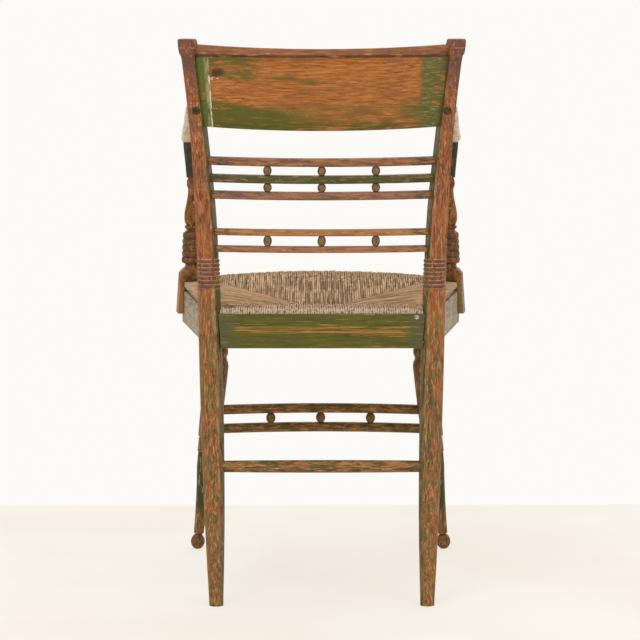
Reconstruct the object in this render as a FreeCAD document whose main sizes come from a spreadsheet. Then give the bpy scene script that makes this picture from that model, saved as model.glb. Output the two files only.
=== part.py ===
import FreeCAD, Part
import math
import os
import re
import Sketcher
from FreeCAD import Vector

# Armchair of the ball-and-rail "fancy chair" family, seen straight from behind in its photograph.
# It faces -Y, so its back is at +Y and the sitter's left is +X. Lengths are millimetres, angles degrees.
# "Forward" is measured from the outer face of the rear seat casing towards the front of the chair.

SIZES = {
    # whole chair
    "overall_height": 872,
    "back_face_setback": 175.47,
    "glue_gap": 0.12,
    "seat_gap": 0.3,
    "cut_overrun": 20,
    # back posts, turned below the ring band and squared above it
    "post_half_spacing": 175,
    "post_foot_half_spacing": 163,
    "post_width": 36,
    "post_depth": 36,
    "post_forward": 14,
    "post_turn_angle": 15,
    "foot_sweep_radius": 1458,
    "foot_sweep_height": 480,
    "back_bend_radius": 1080,
    "back_bend_height": 520,
    "side_flare_radius": 3450,
    "side_flare_share": 0.0212,
    "band_bottom": 484,
    "band_top": 530,
    "band_radius": 17.7,
    "band_groove_depth": 1.3,
    "finial_bottom": 847,
    "finial_width": 25.5,
    "finial_depth": 28.5,
    # crest rail: a flat tablet under a round roll
    "crest_height": 801,
    "crest_bow": 26,
    "crest_thickness": 11,
    "crest_drop": 64.5,
    "crest_roll_rise": 57.5,
    "crest_roll_radius": 7.8,
    "crest_edge_ease": 2,
    "crest_tenon_thickness": 7,
    "crest_tenon_drop": 50,
    "crest_tenon_rise": 36,
    # five back rails and the balls between them
    "back_rail_bow": 17,
    "back_rail_depth": 12,
    "upper_rail_height": 12.5,
    "lower_rail_height": 10.3,
    "lowest_rail_height": 546.4,
    "lower_pair_spacing": 26.5,
    "rail_group_spacing": 58.1,
    "middle_rail_spacing": 26,
    "top_rail_spacing": 27,
    "ball_spacing": 83.5,
    "back_ball_radius": 6.6,
    "ball_flat_radius": 2.6,
    # seat plan and frame
    "seat_back_half_width": 174.7,
    "seat_splay_angle": 9.1,
    "seat_front_reach": 430,
    "seat_front_bow": 72,
    "seat_corner_radius": 38,
    "seat_tilt_angle": 1.7,
    "seat_rail_bottom": 411,
    "seat_rail_height": 32,
    "seat_rail_depth": 22,
    "front_rail_depth": 46,
    "seat_tenon_width": 13,
    "seat_tenon_length": 14,
    # casing strips nailed round the seat
    "casing_bottom": 391.5,
    "casing_height": 53.5,
    "casing_thickness": 6,
    # rush seat, woven over the rails and dished
    "rush_wrap": 5,
    "rush_under_wrap": 6,
    "rush_crown": 9,
    "rush_edge_ease": 5,
    "rush_dish_depth": 23,
    "rush_crown_width": 26,
    "rush_seam_half_length": 36,
    "rush_seam_width": 3,
    "rush_seam_setback": 215,
    # turned front legs, splayed, on ball feet
    "front_foot_half_spacing": 208,
    "front_foot_setin": 38,
    "front_leg_splay_angle": 6.3,
    "front_leg_rake_angle": 4,
    "leg_ball_radius": 11.7,
    "leg_ball_height": 26.5,
    "leg_ankle_radius": 8.4,
    "leg_calf_height": 143,
    "leg_calf_radius": 15.1,
    "leg_ring_bottom": 168,
    "leg_ring_pitch": 4.6,
    "leg_ring_radius": 17,
    "leg_ring_groove": 1.3,
    "leg_shaft_radius": 18.3,
    "leg_vase_height": 315,
    "leg_vase_radius": 20,
    "leg_neck_height": 329,
    "leg_neck_radius": 15.3,
    "leg_bead_bottom": 334,
    "leg_bead_height": 13,
    "leg_bead_radius": 16.8,
    "leg_top_radius": 14.5,
    "leg_tenon_radius": 12.5,
    "leg_tenon_length": 24,
    "leg_tenon_rise": 23.2945,
    # front stretcher pair, bowed forward, with balls
    "stretcher_bow": 24,
    "stretcher_height": 16,
    "stretcher_depth": 14,
    "stretcher_corner_ease": 3.5,
    "stretcher_lower_height": 205.6,
    "stretcher_spacing": 32.2,
    "stretcher_ball_radius": 7.9,
    # plain turned stretchers
    "rear_stretcher_height": 208,
    "rear_stretcher_end_radius": 8.5,
    "rear_stretcher_middle_radius": 9.9,
    "side_stretcher_upper_height": 262,
    "side_stretcher_lower_height": 158,
    "side_stretcher_end_radius": 6.5,
    "side_stretcher_middle_radius": 8.5,
    # scrolled arms
    "arm_joint_height": 762,
    "arm_joint_half_spacing": 197,
    "arm_front_half_spacing": 210.5,
    "arm_dip_height": 704,
    "arm_dip_setin": 105,
    "arm_roll_height": 715,
    "arm_roll_radius": 20,
    "arm_thickness": 15,
    "arm_width": 29,
    "arm_end_forward": 5.962,
    "arm_tenon_radius": 6,
    "arm_tenon_length": 13,
    "plug_radius": 6.7,
    "plug_depth": 5,
    "plug_dome": 1,
    # turned arm supports, lapped over the side casings
    "support_setin": 100,
    "support_base_top": 481,
    "support_base_half_depth": 15,
    "support_lap_bottom": 407.6,
    "support_lap_thickness": 9.5,
    "support_lap_top_thickness": 5,
    "support_shoulder_height": 473,
    "support_neck_radius": 12.8,
    "support_bulb_bottom": 490.5,
    "support_bulb_height": 50,
    "support_bulb_radius": 19,
    "support_bulb_top_radius": 16.4,
    "support_ridge_depth": 1.4,
    "support_ring_height": 549.5,
    "support_ring_radius": 13.4,
    "support_waist_radius": 10.4,
    "support_vase_height": 566,
    "support_vase_radius": 13.9,
    "support_throat_height": 611.5,
    "support_throat_radius": 7.4,
    "support_bead_radius": 9.6,
    "support_top": 631,
    "support_tenon_radius": 5.5,
    "support_tenon_length": 15,
}

# Stations up each half of a post: height, width and depth as shares of post or finial sizes,
# and the corner rounding as a share of the width.
LEG_STATION_SHARES = (
    (0.0, 0.60, 0.61, 0.29),
    (0.124, 0.735, 0.735, 0.29),
    (0.269, 0.86, 0.86, 0.29),
    (0.455, 0.945, 0.945, 0.29),
    (0.68, 0.99, 0.99, 0.29),
    (1.0, 0.975, 0.975, 0.29),
)
UPPER_STATION_SHARES = (
    (0.0, 0.961, 0.961, 0.29),
    (0.05, 0.84, 0.91, 0.25),
    (0.115, 0.785, 0.895, 0.12),
    (0.29, 0.75, 0.861, 0.12),
    (0.52, 0.653, 0.806, 0.13),
    (0.74, 0.611, 0.778, 0.13),
    (1.0, 0.583, 0.722, 0.13),
)
FINIAL_STATION_SHARES = (
    (0.0, 0.86, 0.93, 0.16),
    (0.12, 0.97, 0.98, 0.15),
    (0.52, 1.0, 1.0, 0.15),
    (0.85, 0.97, 0.97, 0.16),
    (1.0, 0.88, 0.9, 0.18),
)
# Shares of the arm's width at the post, at its lowest place and at the roll; then its width and
# thickness in even steps from the roll down to the support, and its thickness over the roll.
ARM_WIDTH_SHARES = (0.76, 0.97, 1.0)
ARM_STEM_SHARES = ((1.06, 0.93), (1.0, 0.97), (0.88, 1.05), (0.77, 1.14), (0.68, 1.25))
ARM_ROLL_THICKNESS_SHARE = 0.97
ARM_EASE_SHARE = 0.22
# How far the ring band's corners are eased, and how much of a small ball's height is at full width.
BALL_WAIST_SHARE = 0.34
BAND_EASE_SHARE = 0.27
# A leg's ball as shares of its radius and height, from under the floor up, and the shin's first
# station as shares of the ankle's radius and of the way up to the calf.
LEG_BALL_SHARES = ((0.4, -0.1), (0.85, 0.15), (1.0, 0.4), (0.95, 0.7))
LEG_SHIN_SHARES = (1.1, 0.36)
LEG_SHOULDER_SHARE = 1.25
STRETCHER_MIDDLE_SHARE = 0.3
PLUG_DOME_SHARE = 0.7
# The support's vase: the radius and height of its shoulders beside its widest place.
VASE_SHOULDER_SHARES = (0.94, 0.5)
# Repeats
ARM_FALL_STEPS = 7
ARM_RISE_STEPS = 3
ARM_ROLL_STEPS = 3
BAND_RIDGES = 7
LEG_RINGS = 5
SUPPORT_RIDGES = 5
CREST_ROLL_SIDES = 8
TURNING_SIDES = 12
STRETCHER_SIDES = 10
BALL_SIDES = 10
DISH_FRONT_FACETS = 6
BALL_PLACES = (-1, 0, 1)

doc = FreeCAD.newDocument("Armchair")
sheet = doc.addObject("Spreadsheet::Sheet", "Sizes")
for row, (alias, number) in enumerate(SIZES.items(), start=1):
    sheet.set(f"A{row}", alias)
    sheet.set(f"B{row}", str(number))
    sheet.setAlias(f"B{row}", alias)
doc.recompute()


def bound(text):
    """An expression text with each size's name turned into its cell's reference."""
    return re.sub(r"[a-z_]\w*", lambda word: f"Sizes.{word[0]}" if word[0] in SIZES else word[0], text)


def value(text):
    """The number that an expression text gives."""
    result = sheet.evalExpression(bound(text))
    return float(getattr(result, "Value", result))


# Feature helpers

def origin_plane(body, role):
    return next(item for item in body.Origin.OriginFeatures if item.Role == role)


def empty_sketch(body, name, role):
    sketch = body.newObject("Sketcher::SketchObject", f"{body.Name}_{name}")
    sketch.AttachmentSupport = (origin_plane(body, role), [""])
    sketch.MapMode = "FlatFace"
    return sketch


def draw_outline(sketch, points):
    """Closed outline through points given as pairs of expression texts, each bound to its own."""
    corners = [Vector(value(across), value(up), 0) for across, up in points]
    count = len(corners)
    for index, start in enumerate(corners):
        sketch.addGeometry(Part.LineSegment(start, corners[(index + 1) % count]), False)
    for index in range(count):
        sketch.addConstraint(Sketcher.Constraint("Coincident", index, 2, (index + 1) % count, 1))
    for index, (across, up) in enumerate(points):
        for kind, text in (("DistanceX", across), ("DistanceY", up)):
            number = sketch.addConstraint(Sketcher.Constraint(kind, -1, 1, index, 1, value(text)))
            sketch.setExpression(f"Constraints[{number}]", bound(text))


def draw_rectangle(sketch, width, height, across="0", up="0"):
    """Rectangle with its centre at (across, up)."""
    left, right = f"({across}) - ({width}) / 2", f"({across}) + ({width}) / 2"
    low, high = f"({up}) - ({height}) / 2", f"({up}) + ({height}) / 2"
    draw_outline(sketch, ((left, low), (right, low), (right, high), (left, high)))


def draw_eased_rectangle(sketch, width, height, ease, across="0", up="0"):
    """Rectangle with its corners planed off, its centre at (across, up)."""
    left, right = f"({across}) - ({width}) / 2", f"({across}) + ({width}) / 2"
    low, high = f"({up}) - ({height}) / 2", f"({up}) + ({height}) / 2"
    draw_outline(sketch, (
        (f"{left} + ({ease})", low), (f"{right} - ({ease})", low),
        (right, f"{low} + ({ease})"), (right, f"{high} - ({ease})"),
        (f"{right} - ({ease})", high), (f"{left} + ({ease})", high),
        (left, f"{high} - ({ease})"), (left, f"{low} + ({ease})"),
    ))


def new_body(name):
    return doc.addObject("PartDesign::Body", name)


def place(body, across, back, up, rotation="rotation(vector(0; 0; 1); 0)"):
    body.setExpression("Placement", bound(f"placement(vector({across}; {back}; {up}); {rotation})"))


def about(axis, angle):
    directions = {"x": "1; 0; 0", "y": "0; 1; 0", "z": "0; 0; 1"}
    return f"rotation(vector({directions[axis]}); {angle})"


def faceted(rings, sides):
    """Solid of plane facets through rings about Z, each a pair of radius and height."""
    corners = []
    for radius, height in rings:
        turns = [2 * math.pi * side / sides for side in range(sides)]
        corners.append([Vector(radius * math.cos(turn), radius * math.sin(turn), height) for turn in turns])
    outlines = [corners[0], corners[-1]]
    for low, high in zip(corners, corners[1:]):
        for side in range(sides):
            following = (side + 1) % sides
            outlines.append([low[side], low[following], high[following], high[side]])
    shell = Part.Shell([Part.Face(Part.makePolygon(outline + outline[:1])) for outline in outlines])
    shell.sewShape()
    solid = Part.makeSolid(shell)
    if solid.Volume < 0:
        solid.reverse()
    return solid


class Turning:
    """A turned piece: the radius and height of each of its rings is a property bound to its own."""

    def __init__(self, item, points, sides):
        self.count, self.sides = len(points), sides
        for number, (radius, height) in enumerate(points):
            for kind, text in (("Radius", radius), ("Height", height)):
                item.addProperty("App::PropertyFloat", f"{kind}{number}")
                item.setExpression(f"{kind}{number}", bound(text))
        item.Proxy = self

    def execute(self, item):
        rings = [(getattr(item, f"Radius{number}"), getattr(item, f"Height{number}"))
                 for number in range(self.count)]
        solid = faceted(rings, self.sides)
        solid.Placement = item.Placement
        item.Shape = solid


def turned(name, points, sides):
    """A turned piece through the points of its half outline, each a pair of radius and height."""
    item = doc.addObject("Part::FeaturePython", name)
    Turning(item, points, sides)
    return item


def loft(body, name, stations):
    """Loft through eased sections, each (across, back, up, rotation, width, depth, ease)."""
    sketches = []
    for number, (across, back, up, rotation, width, depth, ease) in enumerate(stations):
        sketch = empty_sketch(body, f"{name}_{number}", "XY_Plane")
        sketch.setExpression("AttachmentOffset", bound(
            f"placement(vector({across}; {back}; {up}); {rotation})"))
        draw_eased_rectangle(sketch, width, depth, ease)
        sketches.append(sketch)
    feature = body.newObject("PartDesign::AdditiveLoft", f"{body.Name}_{name}_loft")
    feature.Profile = sketches[0]
    feature.Sections = sketches[1:]
    return feature


def boolean(kind, name, base, tool):
    result = doc.addObject(f"Part::{kind}", name)
    result.Base = base
    result.Tool = tool
    return result


def joined(name, pieces):
    result = doc.addObject("Part::MultiFuse", name)
    result.Shapes = pieces
    return result


def mirrored(name, source):
    result = doc.addObject("Part::Mirroring", name)
    result.Source = source
    result.Normal = Vector(1, 0, 0)
    return result


# Reaches that follow the seat, and the front legs' length up into its front rail

side_reach = "(seat_front_reach - seat_front_bow)"
foot_reach = "(seat_front_reach - front_foot_setin)"
support_reach = "(seat_front_reach - support_setin)"
dip_reach = f"({support_reach} - arm_dip_setin)"
leg_length = ("((seat_rail_bottom + leg_tenon_rise)"
              " / (cos(front_leg_splay_angle) * cos(front_leg_rake_angle)))")

# The run of the back posts

def post_across(height):
    """Half spacing of the posts' centre lines at a height."""
    rise = f"(({height}) - band_bottom)"
    spread = "(post_half_spacing - post_foot_half_spacing)"
    below = f"post_foot_half_spacing + {spread} * ({height}) / band_bottom"
    above = f"post_half_spacing + side_flare_share * {rise} + {rise}^2 / (2 * side_flare_radius)"
    return f"({rise} > 0 ? {above} : {below})"


def post_back(height):
    """Y of the posts' centre lines at a height: the foot sweeps back, and so does the back."""
    fall = f"max(0; foot_sweep_height - ({height}))"
    rise = f"max(0; ({height}) - back_bend_height)"
    foot = f"(foot_sweep_radius - sqrt(foot_sweep_radius^2 - {fall}^2))"
    bend = f"(back_bend_radius - sqrt(back_bend_radius^2 - {rise}^2))"
    return f"(back_face_setback - post_forward + {foot} + {bend})"


def rake(height):
    """Lean of the back at a height."""
    return f"asin((({height}) - back_bend_height) / back_bend_radius)"


def leg_across(height):
    return f"(front_foot_half_spacing - ({height}) * tan(front_leg_splay_angle) / cos(front_leg_rake_angle))"


def leg_back(height):
    return f"(back_face_setback - {foot_reach} + ({height}) * tan(front_leg_rake_angle))"


# Bowed bars: crest rail, back rails and front stretchers

def bowed_bar(name, draw, half_chord, bow, back, up, lean="0", side="1"):
    """A section swept round an arc between two posts.

    The bar bows by "bow" to the back (side 1) or to the front (side -1) of the line through its two
    ends, in a plane that leans back by "lean". draw puts the section in the sketch at an offset.
    """
    radius = f"((({half_chord})^2 + ({bow})^2) / (2 * ({bow})))"
    body = new_body(name)
    sketch = empty_sketch(body, "section", "YZ_Plane")
    draw(sketch, f"({side}) * {radius}")
    sweep = body.newObject("PartDesign::Revolution", f"{name}_sweep")
    sweep.Profile = sketch
    sweep.ReferenceAxis = (sketch, ["V_Axis"])
    sweep.Midplane = True
    sweep.setExpression("Angle", bound(f"2 * asin(({half_chord}) / {radius})"))
    reach = f"({side}) * ({radius} - ({bow}))"
    place(body, "0", f"({back}) - {reach} * cos({lean})", f"({up}) + {reach} * sin({lean})",
          about("x", f"-({lean})"))
    return body


def bow_offset(half_chord, bow, across):
    """How far a bowed bar lies beyond the line through its ends, at a distance across."""
    radius = f"((({half_chord})^2 + ({bow})^2) / (2 * ({bow})))"
    return f"(({bow}) - {radius} + sqrt({radius}^2 - ({across})^2))"


# Back posts

post_blank = new_body("post_blank")
turn = about("z", "-post_turn_angle")


def post_stations(shares, bottom, top, width, depth):
    for height_share, width_share, depth_share, corner_share in shares:
        height = f"({bottom} + {height_share} * ({top} - {bottom}))"
        yield (post_across(height), post_back(height), height, turn, f"{width_share} * {width}",
               f"{depth_share} * {depth}", f"{corner_share} * {width_share} * {width}")


loft(post_blank, "leg", post_stations(LEG_STATION_SHARES, "0", "band_bottom", "post_width", "post_depth"))


def band_stations():
    """The ring band: grooves between ridges, cut round the eased section."""
    for step in range(2 * BAND_RIDGES + 1):
        height = f"(band_bottom + {step} * (band_top - band_bottom) / {2 * BAND_RIDGES})"
        across = "2 * band_radius" if step % 2 else "2 * (band_radius - band_groove_depth)"
        yield (post_across(height), post_back(height), height, turn, across, across,
               f"{BAND_EASE_SHARE} * {across}")


loft(post_blank, "band", band_stations()).Ruled = True
loft(post_blank, "upper", post_stations(
    UPPER_STATION_SHARES, "band_top", "finial_bottom", "post_width", "post_depth"))
loft(post_blank, "finial", post_stations(
    FINIAL_STATION_SHARES, "finial_bottom", "overall_height", "finial_width", "finial_depth"))
post_blank_right = mirrored("post_blank_right", post_blank)
post_pair = joined("post_pair", [post_blank, post_blank_right])
post_holes = []

# Crest rail

crest_place = (post_across("crest_height"), "crest_bow", post_back("crest_height"), "crest_height",
               rake("crest_height"))


def draw_crest(sketch, across):
    half, ease = "crest_thickness / 2", "crest_edge_ease"
    points = [
        (f"{across} - {half} + {ease}", "-crest_drop"), (f"{across} + {half} - {ease}", "-crest_drop"),
        (f"{across} + {half}", f"-crest_drop + {ease}"),
    ]
    join = f"asin({half} / crest_roll_radius)"
    for step in range(CREST_ROLL_SIDES + 1):
        turn_round = f"({join} + {step / CREST_ROLL_SIDES} * (360 deg - 2 * {join}))"
        points.append((f"{across} + crest_roll_radius * sin({turn_round})",
                       f"crest_roll_rise - crest_roll_radius * cos({turn_round})"))
    points.append((f"{across} - {half}", f"-crest_drop + {ease}"))
    draw_outline(sketch, points)


def crest_tenon(gap):
    def draw(sketch, across):
        draw_rectangle(
            sketch, f"crest_tenon_thickness + 2 * {gap}", f"crest_tenon_drop + crest_tenon_rise + 2 * {gap}",
            across, "(crest_tenon_rise - crest_tenon_drop) / 2")
    return draw


crest_blank = bowed_bar("crest_blank", draw_crest, *crest_place)
crest_core = bowed_bar("crest_core", crest_tenon("0"), *crest_place)
crest_mortise = bowed_bar("crest_mortise", crest_tenon("glue_gap"), f"{crest_place[0]} + glue_gap",
                          f"{crest_place[1]} * (1 + glue_gap / {crest_place[0]})^2", *crest_place[2:])
crest_shouldered = boolean("Cut", "crest_shouldered", crest_blank, post_pair)
joined("crest_rail", [crest_shouldered, crest_core])
post_holes.append(crest_mortise)

# Back rails and their balls

RAIL_HEIGHT_NAMES = ("upper_rail_height",) * 3 + ("lower_rail_height",) * 2
rail_levels = ["lowest_rail_height"]
for spacing in ("lower_pair_spacing", "rail_group_spacing", "middle_rail_spacing", "top_rail_spacing"):
    rail_levels.insert(0, f"({rail_levels[0]} + {spacing})")


def back_rail_section(height, gap):
    def draw(sketch, across):
        draw_rectangle(sketch, f"back_rail_depth + 2 * {gap}", f"{height} + 2 * {gap}", across)
    return draw


for number, rail_height in enumerate(RAIL_HEIGHT_NAMES, start=1):
    level = rail_levels[number - 1]
    chord, back, lean = post_across(level), post_back(level), rake(level)
    bowed_bar(f"back_rail_{number}", back_rail_section(rail_height, "0"), chord, "back_rail_bow",
              back, level, lean)
    post_holes.append(bowed_bar(
        f"rail_hole_{number}", back_rail_section(rail_height, "glue_gap"), f"{chord} + glue_gap",
        f"back_rail_bow * (1 + glue_gap / {chord})^2", back, level, lean))


def rail_surface(number, across, side):
    """Point above (side 1) or below (side -1) a back rail's middle line, as back and height."""
    level = rail_levels[number - 1]
    offset = bow_offset(post_across(level), "back_rail_bow", across)
    half = f"({side} * {RAIL_HEIGHT_NAMES[number - 1]} / 2)"
    lean = rake(level)
    back = f"({post_back(level)} + {offset} * cos({lean}) + {half} * sin({lean}))"
    height = f"({level} - {offset} * sin({lean}) + {half} * cos({lean}))"
    return back, height


def ball(name, across, low, high, radius):
    """A turned ball between two bars; low and high are its seats as back and height."""
    run = f"({high[0]} - {low[0]})"
    rise = f"({high[1]} - {low[1]})"
    half = f"(sqrt({run}^2 + {rise}^2) / 2 - glue_gap)"
    piece = turned(name, (
        ("ball_flat_radius", f"-{half}"), (radius, f"-{BALL_WAIST_SHARE} * {half}"),
        (radius, f"{BALL_WAIST_SHARE} * {half}"), ("ball_flat_radius", half)), BALL_SIDES)
    place(piece, across, f"({low[0]} + {high[0]}) / 2", f"({low[1]} + {high[1]}) / 2",
          about("x", f"-atan({run} / {rise})"))


back_ball_number = 0
for upper, lower in ((1, 2), (2, 3), (4, 5)):
    for place_share in BALL_PLACES:
        back_ball_number += 1
        across = f"({place_share} * ball_spacing)"
        ball(f"back_ball_{back_ball_number}", across, rail_surface(lower, across, 1),
             rail_surface(upper, across, -1), "back_ball_radius")

# Front legs

leg_rotation = f"{about('x', '-front_leg_rake_angle')} * {about('y', '-front_leg_splay_angle')}"


def leg_profile(gap="0"):
    """Half outline of a front leg from the foot up."""
    shin_radius, shin_height = LEG_SHIN_SHARES
    groove = "leg_ring_radius - leg_ring_groove"
    points = [(f"{radius} * leg_ball_radius", f"{height} * leg_ball_height")
              for radius, height in LEG_BALL_SHARES]
    points += [
        ("leg_ankle_radius - leg_ring_groove", "leg_ball_height"),
        ("leg_ankle_radius", "leg_ball_height + leg_ring_groove"),
        (f"{shin_radius} * leg_ankle_radius",
         f"leg_ball_height + {shin_height} * (leg_calf_height - leg_ball_height)"),
        ("leg_calf_radius", "leg_calf_height"),
    ]
    for ring in range(2 * LEG_RINGS + 1):
        points.append(("leg_ring_radius" if ring % 2 else groove,
                       f"leg_ring_bottom + {ring} * leg_ring_pitch / 2"))
    points += [
        ("leg_shaft_radius", f"leg_ring_bottom + {LEG_RINGS + 1} * leg_ring_pitch"),
        ("leg_vase_radius", "leg_vase_height"), ("leg_neck_radius", "leg_neck_height"),
        ("leg_neck_radius", "leg_bead_bottom"), ("leg_bead_radius", "leg_bead_bottom + leg_bead_height / 2"),
        ("leg_neck_radius", "leg_bead_bottom + leg_bead_height"),
        (f"leg_top_radius + {gap}", f"{leg_length} - {LEG_SHOULDER_SHARE} * leg_tenon_length"),
        (f"leg_tenon_radius + {gap}", f"{leg_length} - leg_tenon_length"),
        (f"leg_tenon_radius + {gap}", f"{leg_length} + {gap}"),
    ]
    return points


def front_leg(name, gap="0"):
    piece = turned(name, leg_profile(gap), TURNING_SIDES)
    place(piece, "front_foot_half_spacing", f"back_face_setback - {foot_reach}", "0", leg_rotation)
    return piece


floor = doc.addObject("Part::Box", "floor_block")
for side_name, text in (("Length", "2 * front_foot_half_spacing + 2 * cut_overrun"),
                        ("Width", f"2 * {foot_reach} + 2 * cut_overrun"), ("Height", "cut_overrun")):
    floor.setExpression(side_name, bound(text))
place(floor, "-front_foot_half_spacing - cut_overrun", f"-{foot_reach} - cut_overrun", "-cut_overrun")
leg_blank = front_leg("leg_blank")
leg_socket = front_leg("leg_socket", "glue_gap")
leg_holes = []

# Front stretchers and their balls

STRETCHER_LEVELS = {
    "upper": "(stretcher_lower_height + stretcher_spacing)",
    "lower": "stretcher_lower_height",
}


def stretcher_section(gap):
    def draw(sketch, across):
        draw_eased_rectangle(sketch, f"stretcher_depth + 2 * {gap}", f"stretcher_height + 2 * {gap}",
                             f"stretcher_corner_ease + {gap}", across)
    return draw


def stretcher_surface(level, across, side):
    """Point above (side 1) or below (side -1) a stretcher, on the plumb line between the pair."""
    middle = "(stretcher_lower_height + stretcher_spacing / 2)"
    offset = bow_offset(leg_across(middle), "stretcher_bow", across)
    return f"({leg_back(middle)} - {offset})", f"({level} + {side} * stretcher_height / 2)"


for tier, level in STRETCHER_LEVELS.items():
    chord, back = leg_across(level), leg_back(level)
    bowed_bar(f"front_stretcher_{tier}", stretcher_section("0"), chord, "stretcher_bow", back, level,
              side="-1")
    leg_holes.append(bowed_bar(
        f"stretcher_hole_{tier}", stretcher_section("glue_gap"), f"{chord} + glue_gap",
        f"stretcher_bow * (1 + glue_gap / {chord})^2", back, level, side="-1"))
for number, place_share in enumerate(BALL_PLACES, start=1):
    across = f"({place_share} * ball_spacing)"
    ball(f"stretcher_ball_{number}", across, stretcher_surface(STRETCHER_LEVELS["lower"], across, 1),
         stretcher_surface(STRETCHER_LEVELS["upper"], across, -1), "stretcher_ball_radius")

# Plain turned stretchers


def plain_stretcher(name, half_length, end_radius, middle_radius, gap="0"):
    """A bar that swells towards its middle, turned about its own length."""
    end = f"(({half_length}) + {gap})"
    return turned(name, (
        (f"{end_radius} + {gap}", f"-{end}"), (middle_radius, f"-{STRETCHER_MIDDLE_SHARE} * {end}"),
        (middle_radius, f"{STRETCHER_MIDDLE_SHARE} * {end}"), (f"{end_radius} + {gap}", end)),
        STRETCHER_SIDES)


rear_place = ("0", post_back("rear_stretcher_height"), "rear_stretcher_height")
for name, gap in (("rear_stretcher", "0"), ("rear_stretcher_hole", "glue_gap")):
    bar = plain_stretcher(name, post_across("rear_stretcher_height"), "rear_stretcher_end_radius",
                          "rear_stretcher_middle_radius", gap)
    place(bar, *rear_place, about("y", "90"))
post_holes.append(bar)

for tier in ("upper", "lower"):
    level = f"side_stretcher_{tier}_height"
    rear = (post_across(level), post_back(level))
    front = (leg_across(level), leg_back(level))
    span = f"sqrt(({rear[0]} - {front[0]})^2 + ({rear[1]} - {front[1]})^2)"
    for name, gap in ((f"side_stretcher_left_{tier}", "0"), (f"side_hole_{tier}", "glue_gap")):
        bar = plain_stretcher(name, f"{span} / 2", "side_stretcher_end_radius",
                              "side_stretcher_middle_radius", gap)
        place(bar, f"({rear[0]} + {front[0]}) / 2", f"({rear[1]} + {front[1]}) / 2", level,
              f"{about('z', f'asin(({front[0]} - {rear[0]}) / {span})')} * {about('x', '90')}")
        if gap == "0":
            mirrored(f"side_stretcher_right_{tier}", bar)
    post_holes.append(bar)
    leg_holes.append(bar)

leg_cuts = joined("leg_cuts", [floor] + leg_holes)
front_leg_left = boolean("Cut", "front_leg_left", leg_blank, leg_cuts)
mirrored("front_leg_right", front_leg_left)

# Seat frame, casings and rush: all follow one seat outline, set in by a named distance

doc.recompute()


def size(name):
    return float(getattr(sheet, name))


SETBACK = size("back_face_setback")
SPLAY = math.radians(size("seat_splay_angle"))


def front_arc():
    """Forward place of the centre of the front edge's arc, and its radius."""
    half = size("seat_back_half_width") + value(side_reach) * math.tan(SPLAY)
    sagitta = size("seat_front_bow")
    radius = (half ** 2 + sagitta ** 2) / (2 * sagitta)
    return size("seat_front_reach") - radius, radius


def side_across(forward, inset=0):
    return size("seat_back_half_width") + forward * math.tan(SPLAY) - inset / math.cos(SPLAY)


def corner_forward(inset, front_inset=None):
    """Forward place where the side line and the front arc meet, both set in."""
    centre, radius = front_arc()
    radius -= inset if front_inset is None else front_inset
    slope, start = math.tan(SPLAY), side_across(0, inset)
    half_linear = slope * start - centre
    root = math.sqrt(half_linear ** 2 - (slope ** 2 + 1) * (start ** 2 + centre ** 2 - radius ** 2))
    return (root - half_linear) / (slope ** 2 + 1)


def seat_block(inset, bottom, height, front_inset=None):
    """Solid of the seat's plan, set in all round, with its two front corners rounded."""
    front_inset = inset if front_inset is None else front_inset
    forward = corner_forward(inset, front_inset)
    front = [Vector(sign * side_across(forward, inset), SETBACK - forward, bottom) for sign in (-1, 1)]
    back = [Vector(sign * side_across(inset, inset), SETBACK - inset, bottom) for sign in (-1, 1)]
    nose = Vector(0, SETBACK - size("seat_front_reach") + front_inset, bottom)
    wire = Part.Wire([
        Part.Arc(front[0], nose, front[1]).toShape(), Part.LineSegment(front[1], back[1]).toShape(),
        Part.LineSegment(back[1], back[0]).toShape(), Part.LineSegment(back[0], front[0]).toShape()])
    solid = Part.Face(wire).extrude(Vector(0, 0, height))
    radius = size("seat_corner_radius") - front_inset
    if radius <= 0:
        return solid
    corners = [edge for edge in solid.Edges if edge.BoundBox.ZLength > height / 2
               and edge.CenterOfMass.y < SETBACK - forward / 2]
    return solid.makeFillet(radius, corners)


def level_slab(forward_from, forward_to, bottom, height):
    """Block as wide as the chair between two forward places, to divide the seat outline."""
    width = 2 * size("seat_front_reach")
    corner = Vector(-width / 2, SETBACK - forward_to, bottom)
    return Part.makeBox(width, forward_to - forward_from, height, corner)


def tilted(shape):
    """The seat's frame rises to the front about the foot of its rear rail."""
    pivot = Vector(0, SETBACK, size("seat_rail_bottom"))
    result = shape.copy()
    result.rotate(pivot, Vector(1, 0, 0), -size("seat_tilt_angle"))
    return result


def sloped_block(inset, bottom, height, front_inset=None):
    """The seat's plan with upright sides, between two planes that rise to the front."""
    reach = size("seat_front_reach")
    tall = seat_block(inset, bottom - height, 3 * height, front_inset)
    return tall.common(tilted(level_slab(-height, reach + height, bottom, height)))


def feature(name, shape):
    item = doc.addObject("Part::Feature", name)
    item.Shape = shape
    return item


def casing_pieces():
    bottom, height = size("casing_bottom"), size("casing_height")
    gap, thickness = size("glue_gap"), size("casing_thickness")
    far = size("seat_front_reach") + size("cut_overrun")
    ring = seat_block(0, bottom, height).cut(seat_block(thickness, bottom, height))
    joint = value(side_reach) - size("seat_corner_radius") / 2
    posts = post_pair.Shape
    back = ring.common(level_slab(0, thickness, bottom, height)).cut(posts)
    back = max(back.Solids, key=lambda solid: solid.Volume)
    front = ring.common(level_slab(joint, far, bottom, height))
    sides = ring.common(level_slab(thickness + gap, joint - gap, bottom, height)).cut(posts)
    sides = [solid for solid in sides.Solids if solid.Volume > thickness * height * thickness]
    left = max(sides, key=lambda solid: solid.CenterOfMass.x)
    right = min(sides, key=lambda solid: solid.CenterOfMass.x)
    return {"casing_back": back, "casing_front": front.Solids[0], "casing_left": left,
            "casing_right": right}


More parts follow.
